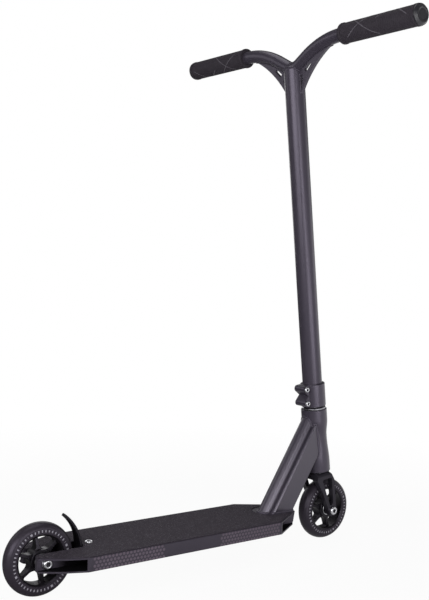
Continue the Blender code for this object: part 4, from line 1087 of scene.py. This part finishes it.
# The fork's black anodising is smoother than the cores', over machined faces.
black_anodising = grained(
    "black_anodised_aluminium", "#242228", "#1b191e", 0.3, (0.24, 0.36), 0.9, 0.1
)
crown_top = reach("fork", steering)[1].z
crown_under = crown_top - 0.010
crown_front = 0.0115
crown_front_drop = 0.0049
boss_radius = 0.0212
boss_bevel = 0.0015
leg_half = reach("fork", steering)[1].y
leg_inner = leg_half - 0.0103
leg_end = 0.0097
leg_front = 0.017
leg_front_drop = 0.0165
leg_rear = 0.0246
leg_rear_hollow = 0.002
shoulder_round = 0.006
window_top = crown_under - 0.001
window_rear = 0.0125
window_front = 0.0105
fork_offset = (steering.inverted() @ front_axle).x
axle_place = steering @ Matrix.Translation((fork_offset, 0, 0)) @ to_left
to_right = Matrix.Rotation(pi / 2, 4, "X")
to_front = Matrix.Rotation(pi / 2, 4, "Z") @ to_right


def bulged(start, end, rise, steps):
    """An arc between two points whose middle stands off to the left of the line by rise."""
    line = Vector(end) - Vector(start)
    ahead = line.normalized()
    left = Vector((-ahead.y, ahead.x))
    radius = (line.length ** 2 / 4 + rise ** 2) / (2 * rise)
    centre = (Vector(start) + Vector(end)) / 2 + left * (rise - radius)
    half_angle = asin(line.length / 2 / radius)
    angles = [half_angle * (2 * step / steps - 1) for step in range(steps + 1)]
    return [tuple(centre + left * radius * cos(a) + ahead * radius * sin(a)) for a in angles]


front_edge = rounded([
    (-boss_radius, crown_top), (fork_offset, crown_top),
    (crown_front, crown_top - crown_front_drop), (leg_front, crown_top - leg_front_drop),
    (leg_front, leg_end),
], [0, 0.004, 0.008, 0.01, 0], closed=False)
toe = arc((fork_offset, 0), leg_end, radians(10), radians(-140), 20)
leg_foot = (fork_offset - leg_end * cos(pi / 6), -leg_end * sin(pi / 6))
rear_edge = bulged(leg_foot, (-leg_rear, crown_under), -leg_rear_hollow, 10)
leg_plate = plate([front_edge + toe + rear_edge[1:]], -leg_half, leg_half, 0)
fork = made("fork_machined", leg_plate, steering @ to_right)
from_front = rounded(
    [(-leg_half, -0.02), (leg_half, -0.02), (leg_half, crown_top), (-leg_half, crown_top)],
    [0, 0, shoulder_round, shoulder_round], 8,
)
from_front = made("front", plate([from_front], -0.05, 0.05, 0), steering @ to_front)
carved(fork, from_front, "INTERSECT")
boss_foot = crown_under - boss_bevel
boss = drum("boss", boss_radius, boss_foot, crown_top, steering, edges=(boss_bevel, 0))
carved(fork, boss, "UNION")
gap = rounded(
    [(-leg_inner, -0.03), (leg_inner, -0.03), (leg_inner, crown_under), (-leg_inner, crown_under)],
    [0, 0, 0.003, 0.003],
)
carved(fork, made("gap", plate([gap], -0.06, 0.06, 0), steering @ to_front))
window = rounded([
    (-window_rear, window_top), (window_front, window_top), (window_front, 0.014),
    (0.004, 0.009), (0.0015, 0.013),
], [0.003, 0.003, 0.003, 0.002, 0.002], 6)
carved(fork, made("window", plate([window], -0.06, 0.06, 0), steering @ to_right))
carved(fork, drum("steerer_bore", steerer_hole, 0.03, 0.1, steering))
carved(fork, drum("axle_bore", axle_hole, -0.05, 0.05, axle_place))
fitted(fork, black_anodising, "steering", "black_metal", "fork")


# Clamp
# A two-bolt collar turned and milled from aluminium, anodised graphite. Its slit is at the rear
# between two bossed ears, and socket-head bolts from the right close it on the bar.

clamp_low, clamp_high = reach("clamp", steering)
clamp_radius = clamp_high.x
collar_edge = 0.0012
ear_half = 0.0125
ear_radius = 0.0059
ear_rear = 0.0265
ear_spacing = 0.0252
notch_angle = radians(50)
notch_rear = 0.0205
notch_radius = 0.0016
upper_height = clamp_high.z - 0.0004 - ear_radius
lower_height = upper_height - ear_spacing
slit = 0.0024
head_sunk = 0.0005
bolt_hole = 0.0033
head_hole = 0.0056
tube_radius = reach("bar_down_tube", steering)[1].y
clamp = drum(
    "clamp_milled", clamp_radius, clamp_low.z, clamp_high.z, steering, 128,
    edges=(collar_edge, collar_edge),
)
ear_root = tube_radius + slit
notch_height = (upper_height + lower_height) / 2
ears = [(-ear_root, upper_height + ear_radius)]
ears += arc((-ear_rear, upper_height), ear_radius, pi / 2, pi + notch_angle, 16)
ears += arc((-notch_rear, notch_height), notch_radius, radians(260), radians(100), 8)
ears += arc((-ear_rear, lower_height), ear_radius, pi - notch_angle, 3 * pi / 2, 16)
ears += [(-ear_root, lower_height - ear_radius)]
ear_mesh = plate([ears[::-1]], -ear_half, ear_half, 0.0008)
carved(clamp, made("ears", ear_mesh, steering @ to_right), "UNION")
carved(clamp, drum("bore", tube_radius + 0.0002, 0.1, 0.3, steering, 128))
carved(clamp, block((-0.05, -slit / 2, 0.15), (0, slit / 2, 0.27), steering))
for node, height in (("clamp_bolt_upper", upper_height), ("clamp_bolt_lower", lower_height)):
    across = steering @ Matrix.Translation((-ear_rear, 0, height)) @ to_right
    seat = ear_half - head_sunk
    hole = [
        (0, 0.03), (head_hole, 0.03), (head_hole, seat), (bolt_hole, seat), (bolt_hole, -0.03),
        (0, -0.03),
    ]
    carved(clamp, turned("bolt_hole", hole, across))
    button_bolt(
        node + "_plated", head_radius=0.0048, head_height=0.0033 + head_sunk, shank=0.003,
        length=2 * ear_half, place=across @ Matrix.Translation((0, 0, seat + fit_gap)),
        body="steering", node=node,
    )
fitted(clamp, frame_anodising, "steering", "graphite_anodising", "clamp")


# Bar
# Chromoly tube, welded and painted satin graphite: a down tube slit at its foot, a bent
# crossbar let into its top, and a cut-out gusset plate on each side, with beads at each joint.

# Satin graphite paint over steel, with the faint orange peel of sprayed lacquer.
graphite_paint = grained(
    "graphite_satin_paint", "#37333c", "#312d36", 0.5, (0.27, 0.39), 1.6, 0.06
)
grip_low, grip_high = reach("grip_left", steering)
grip_line = (grip_low.z + grip_high.z) / 2
bar_end = grip_high.y
bar_rise = 0.036
bar_slope = radians(29)
bar_bend = 0.175
saddle = grip_line - bar_rise
saddle_bend = 0.030
bar_radius = 0.0111
bar_wall = 0.0021
bar_roundness = 14
tube_wall = 0.0015
tube_slit = 0.002
tube_slit_top = clamp_high.z - 0.004
cap_height = 0.007
cap_inner = 0.0125


def bar_line(bend_steps, saddle_steps):
    """Half of the crossbar's centre line as (across, height), from its middle to its end."""
    rise_left = bar_rise - (bar_bend + saddle_bend) * (1 - cos(bar_slope))
    bend_start = saddle_bend * sin(bar_slope) + rise_left / tan(bar_slope)
    straight = bend_start + bar_bend * sin(bar_slope)
    dip = arc((0, saddle + saddle_bend), saddle_bend, -pi / 2, bar_slope - pi / 2, saddle_steps)
    bend = arc((straight, grip_line - bar_bend), bar_bend, pi / 2 + bar_slope, pi / 2, bend_steps)
    return dip + bend + [(bar_end, grip_line)]


half_line = bar_line(bend_steps=24, saddle_steps=12)


def bar_height(across):
    """Height of the crossbar's centre line at a distance from its middle."""
    for (y0, z0), (y1, z1) in zip(half_line, half_line[1:]):
        if y0 <= across <= y1:
            return z0 + (z1 - z0) * (across - y0) / (y1 - y0)
    return grip_line


whole = [(0, -y, z) for y, z in half_line[:0:-1]] + [(0, y, z) for y, z in half_line]
longer = [(0, -bar_end - 0.01, grip_line)] + whole[1:-1] + [(0, bar_end + 0.01, grip_line)]
crossbar = rod("crossbar_tube", whole, bar_radius, bar_roundness, steering)
bore = rod("crossbar_bore", longer, bar_radius - bar_wall, bar_roundness, steering)
carved(crossbar, bore)
fitted(crossbar, graphite_paint, "steering", "graphite_paint", "bar_crossbar")

foot_z = reach("bar_down_tube", steering)[0].z
inner = tube_radius - tube_wall
shoulder = saddle - cap_height / 2
cap_top = shoulder + cap_height
dome = [
    (cap_inner + (tube_radius - cap_inner) * across, shoulder + cap_height * up)
    for up, across in arc((0, 0), 1, 0, pi / 2, 10)
]
wall = rounded([
    (tube_radius, shoulder - 0.01), (tube_radius, foot_z), (inner, foot_z),
    (inner, shoulder - 0.01),
], [0, 0.0004, 0.0004, 0], 2, closed=False)
profile = dome + wall + [
    (inner, shoulder - tube_wall), (cap_inner - tube_wall, cap_top - tube_wall),
    (cap_inner - tube_wall, cap_top),
]
down_tube = turned("down_tube_slit", profile, steering, 128)
carved(down_tube, rod("cope", whole, bar_radius - 0.0002, bar_roundness, steering))
slit_low = (-0.05, -tube_slit / 2, 0.19)
slit_high = (0, tube_slit / 2, tube_slit_top)
carved(down_tube, block(slit_low, slit_high, steering))
fitted(down_tube, graphite_paint, "steering", "graphite_paint", "bar_down_tube")

gusset_half = 0.003
gusset_drop = 0.0445
gusset_reach = 0.0935
gusset_hollow = 0.0072
gusset_sunk = 0.0052
gusset_lean = radians(20)
joint_reach = 0.004
gusset_inner = tube_radius - gusset_sunk
gusset_foot = (tube_radius, saddle - gusset_drop)
over_tip = (gusset_reach, bar_height(gusset_reach))
gusset_tip = (gusset_reach, over_tip[1] - bar_radius + 0.0011)
in_bar = [point for point in half_line if gusset_inner < point[0] < gusset_reach]
gusset_outline = [(gusset_inner, gusset_foot[1])]
gusset_outline += bulged(gusset_foot, gusset_tip, gusset_hollow, 30)
gusset_outline += [over_tip] + in_bar[::-1] + [(gusset_inner, saddle)]
# The two openings of a gusset, as (across, above the saddle).
gusset_openings = (
    ((0.028, -0.0065), (0.0325, -0.011), (0.046, 0.0015), (0.0405, 0.0038)),
    ((0.014, -0.0365), (0.0185, -0.0365), (0.0215, -0.0265), (0.026, -0.018), (0.022, -0.014),
     (0.014, -0.014)),
)
for name, side in (("gusset_left", 1), ("gusset_right", -1)):
    outlines = [[(side * y, z) for y, z in gusset_outline]]
    for corners in gusset_openings:
        placed = [(side * y, saddle + z) for y, z in corners]
        outlines.append(rounded(placed, [0.0012] * len(placed), 4))
    sheet = plate(outlines, -gusset_half, gusset_half, 0.0012)
    gusset = made(name + "_plate", sheet, steering @ to_front)
    fitted(gusset, graphite_paint, "steering", "graphite_paint", name)


def crossbar_joint(side):
    """The joint between the crossbar and the down tube, as points in the steering's axes."""
    path = []
    for step in range(73):
        angle = 2 * pi * step / 72
        forward = bar_radius * sin(angle)
        across = sqrt(max(1e-9, tube_radius ** 2 - forward ** 2))
        height = bar_height(across) - bar_radius * cos(angle) / cos(bar_slope)
        if height < shoulder + joint_reach:
            path.append((forward, side * across, height))
    return sorted(path, key=lambda point: atan2(point[0], -(point[2] - saddle)))


def bar_weld(name, path, width, ripple):
    """A painted weld bead of the bar."""
    seam = bead(name, path, width, ripple, steering)
    fitted(seam, graphite_paint, "steering", "graphite_paint")


weld_foot, weld_top = gusset_foot[1], saddle - bar_radius
weld_heights = [weld_foot + (weld_top - weld_foot) * step / 20 for step in range(21)]
weld_spots = [tube_radius + (gusset_reach - tube_radius) * step / 40 for step in range(41)]
for name, side in (("left", 1), ("right", -1)):
    bar_weld("crossbar_weld_" + name, crossbar_joint(side), width=0.0036, ripple=0.0018)
    for face, forward in (("_rear", -gusset_half), ("_front", gusset_half)):
        out = side * (sqrt(tube_radius ** 2 - forward ** 2) + 0.0001)
        path = [(forward, out, height) for height in weld_heights]
        bar_weld("gusset_tube_weld_" + name + face, path, width=0.0018, ripple=0.0016)
        under = sqrt(bar_radius ** 2 - forward ** 2) / cos(gusset_lean)
        path = [(forward, side * y, bar_height(y) - under) for y in weld_spots]
        bar_weld("gusset_bar_weld_" + name + face, path, width=0.0016, ripple=0.0016)


# Grips and bar ends
# Soft rubber sleeves with fine rings and thin smooth diagonal lines, an inner flange and a
# plain collar at the outer end. A hard plastic plug with a bevelled rim closes the bar.

# Moulded rubber: a soft charcoal with a powdery face, and smoother on the raised lines.
grip_rubber = grained(
    "grip_rubber", "#343036", "#2d292f", 0.1, (0.52, 0.68), 0.7, 0.1, **powdery
)
grip_line_rubber = grained(
    "grip_line_rubber", "#5a565d", "#524e55", 0.2, (0.52, 0.68), 0.7, 0.1, **powdery
)
# Moulded nylon: nearly black and hard, with the even gloss of a polished mould.
plug_plastic = grained(
    "bar_end_nylon", "#26242a", "#201f24", 0.5, (0.3, 0.46), 0.9, 0.03, **powdery
)
grip_length = grip_high.y - grip_low.y
grip_radius = 0.01625
grip_bore = bar_radius + 0.0001
flange_radius = 0.0172
flange_width = 0.004
collar_radius = 0.0168
collar_width = 0.005
ring_pitch = 0.0037
ring_depth = 0.0007
# A ring's outline, as shares of its pitch and of its depth.
ring_shape = ((0.12, 1.0), (0.3, 0.35), (0.5, 0.0), (0.75, 0.0), (0.92, 0.5))
plug_radius = 0.0162
plug_stem = 0.0087
plug_depth = 0.018
line_half_width = 0.0011
line_height = 0.0005
line_span = 0.4
line_turns = 0.42
line_steps = 40
# Each line's middle as a share of the grip, its start as a share of a turn, and its hand.
lines = ((0.33, 0.25, 1), (0.33, 0.6, -1), (0.72, 0.05, 1), (0.72, 0.4, -1))
for name, side in (("left", 1), ("right", -1)):
    low, high = reach("grip_" + name, steering)
    end = max(abs(low.y), abs(high.y))
    start = end - grip_length
    place = steering @ Matrix.Translation((0, 0, grip_line)) @ (to_left if side > 0 else to_right)
    first = start + flange_width + 0.001
    last = end - collar_width - 0.0012
    profile = rounded([
        (grip_bore, start), (flange_radius, start), (flange_radius, start + flange_width),
        (grip_radius, first),
    ], [0, 0.0012, 0.0012, 0], 4, closed=False)
    rings = round((last - first) / ring_pitch)
    pitch = (last - first) / rings
    for ring in range(rings):
        for share, drop in ring_shape:
            profile.append((grip_radius - ring_depth * drop, first + pitch * (ring + share)))
    groove = grip_radius - ring_depth * 1.4
    profile += [
        (groove, last + 0.0002), (groove, last + 0.0010), (collar_radius, last + 0.0014),
        (collar_radius, end - 0.0006), (collar_radius - 0.0006, end), (grip_bore, end),
    ]
    grip = turned("grip_" + name + "_sleeve", profile[::-1], place)
    fitted(grip, grip_rubber, "steering", "grip_rubber", "grip_" + name)

    low, high = reach("bar_end_" + name, steering)
    tip = max(abs(low.y), abs(high.y))
    seat = end + fit_gap
    plug = rounded([
        (0, tip - 0.0006), (0.0088, tip - 0.0006), (0.0100, tip), (0.0127, tip),
        (plug_radius, tip - 0.0035), (plug_radius, seat), (plug_stem, seat),
        (plug_stem, seat - plug_depth), (0, seat - plug_depth),
    ], [0, 0.0003, 0.0003, 0.0006, 0.0006, 0.0003, 0, 0.001, 0], 3, closed=False)
    bar_plug = turned("bar_end_" + name + "_plug", plug, place)
    fitted(bar_plug, plug_plastic, "steering", "bar_end_plastic", "bar_end_" + name)

    strips = bmesh.new()
    for middle, offset, hand in lines:
        rows = []
        for shift in (-line_half_width, line_half_width):
            row = []
            for step in range(line_steps + 1):
                share = step / line_steps
                angle = 2 * pi * (offset + hand * line_turns * share)
                reached = middle - line_span / 2 + line_span * share
                along = start + grip_length * reached + shift
                out = grip_radius + 0.0001
                row.append(strips.verts.new((out * cos(angle), out * sin(angle), along)))
            rows.append(row)
        edges = [strips.edges.new(pair) for row in rows for pair in zip(row, row[1:])]
        bmesh.ops.bridge_loops(strips, edges=edges)
    bmesh.ops.recalc_face_normals(strips, faces=strips.faces)
    bmesh.ops.solidify(strips, geom=strips.faces[:], thickness=line_height)
    bands = made("grip_" + name + "_lines", strips, place)
    fitted(bands, grip_line_rubber, "steering", "grip_rubber")


# Parts inside the frame
# The steerer, shim, star nut, compression cap and bolt, axle spacers and bearing sleeves sit
# inside other pieces. They keep their plain shapes, in zinc-plated steel or black anodising.

inner_finish = {"bright_steel": zinc, "black_metal": black_anodising}
for part in frame["record"]["subparts"]:
    node = frame["nodes"][part["node"]]
    if not node.hide_render:
        node.data.materials.clear()
        node.data.materials.append(inner_finish[part["material_slot"]])
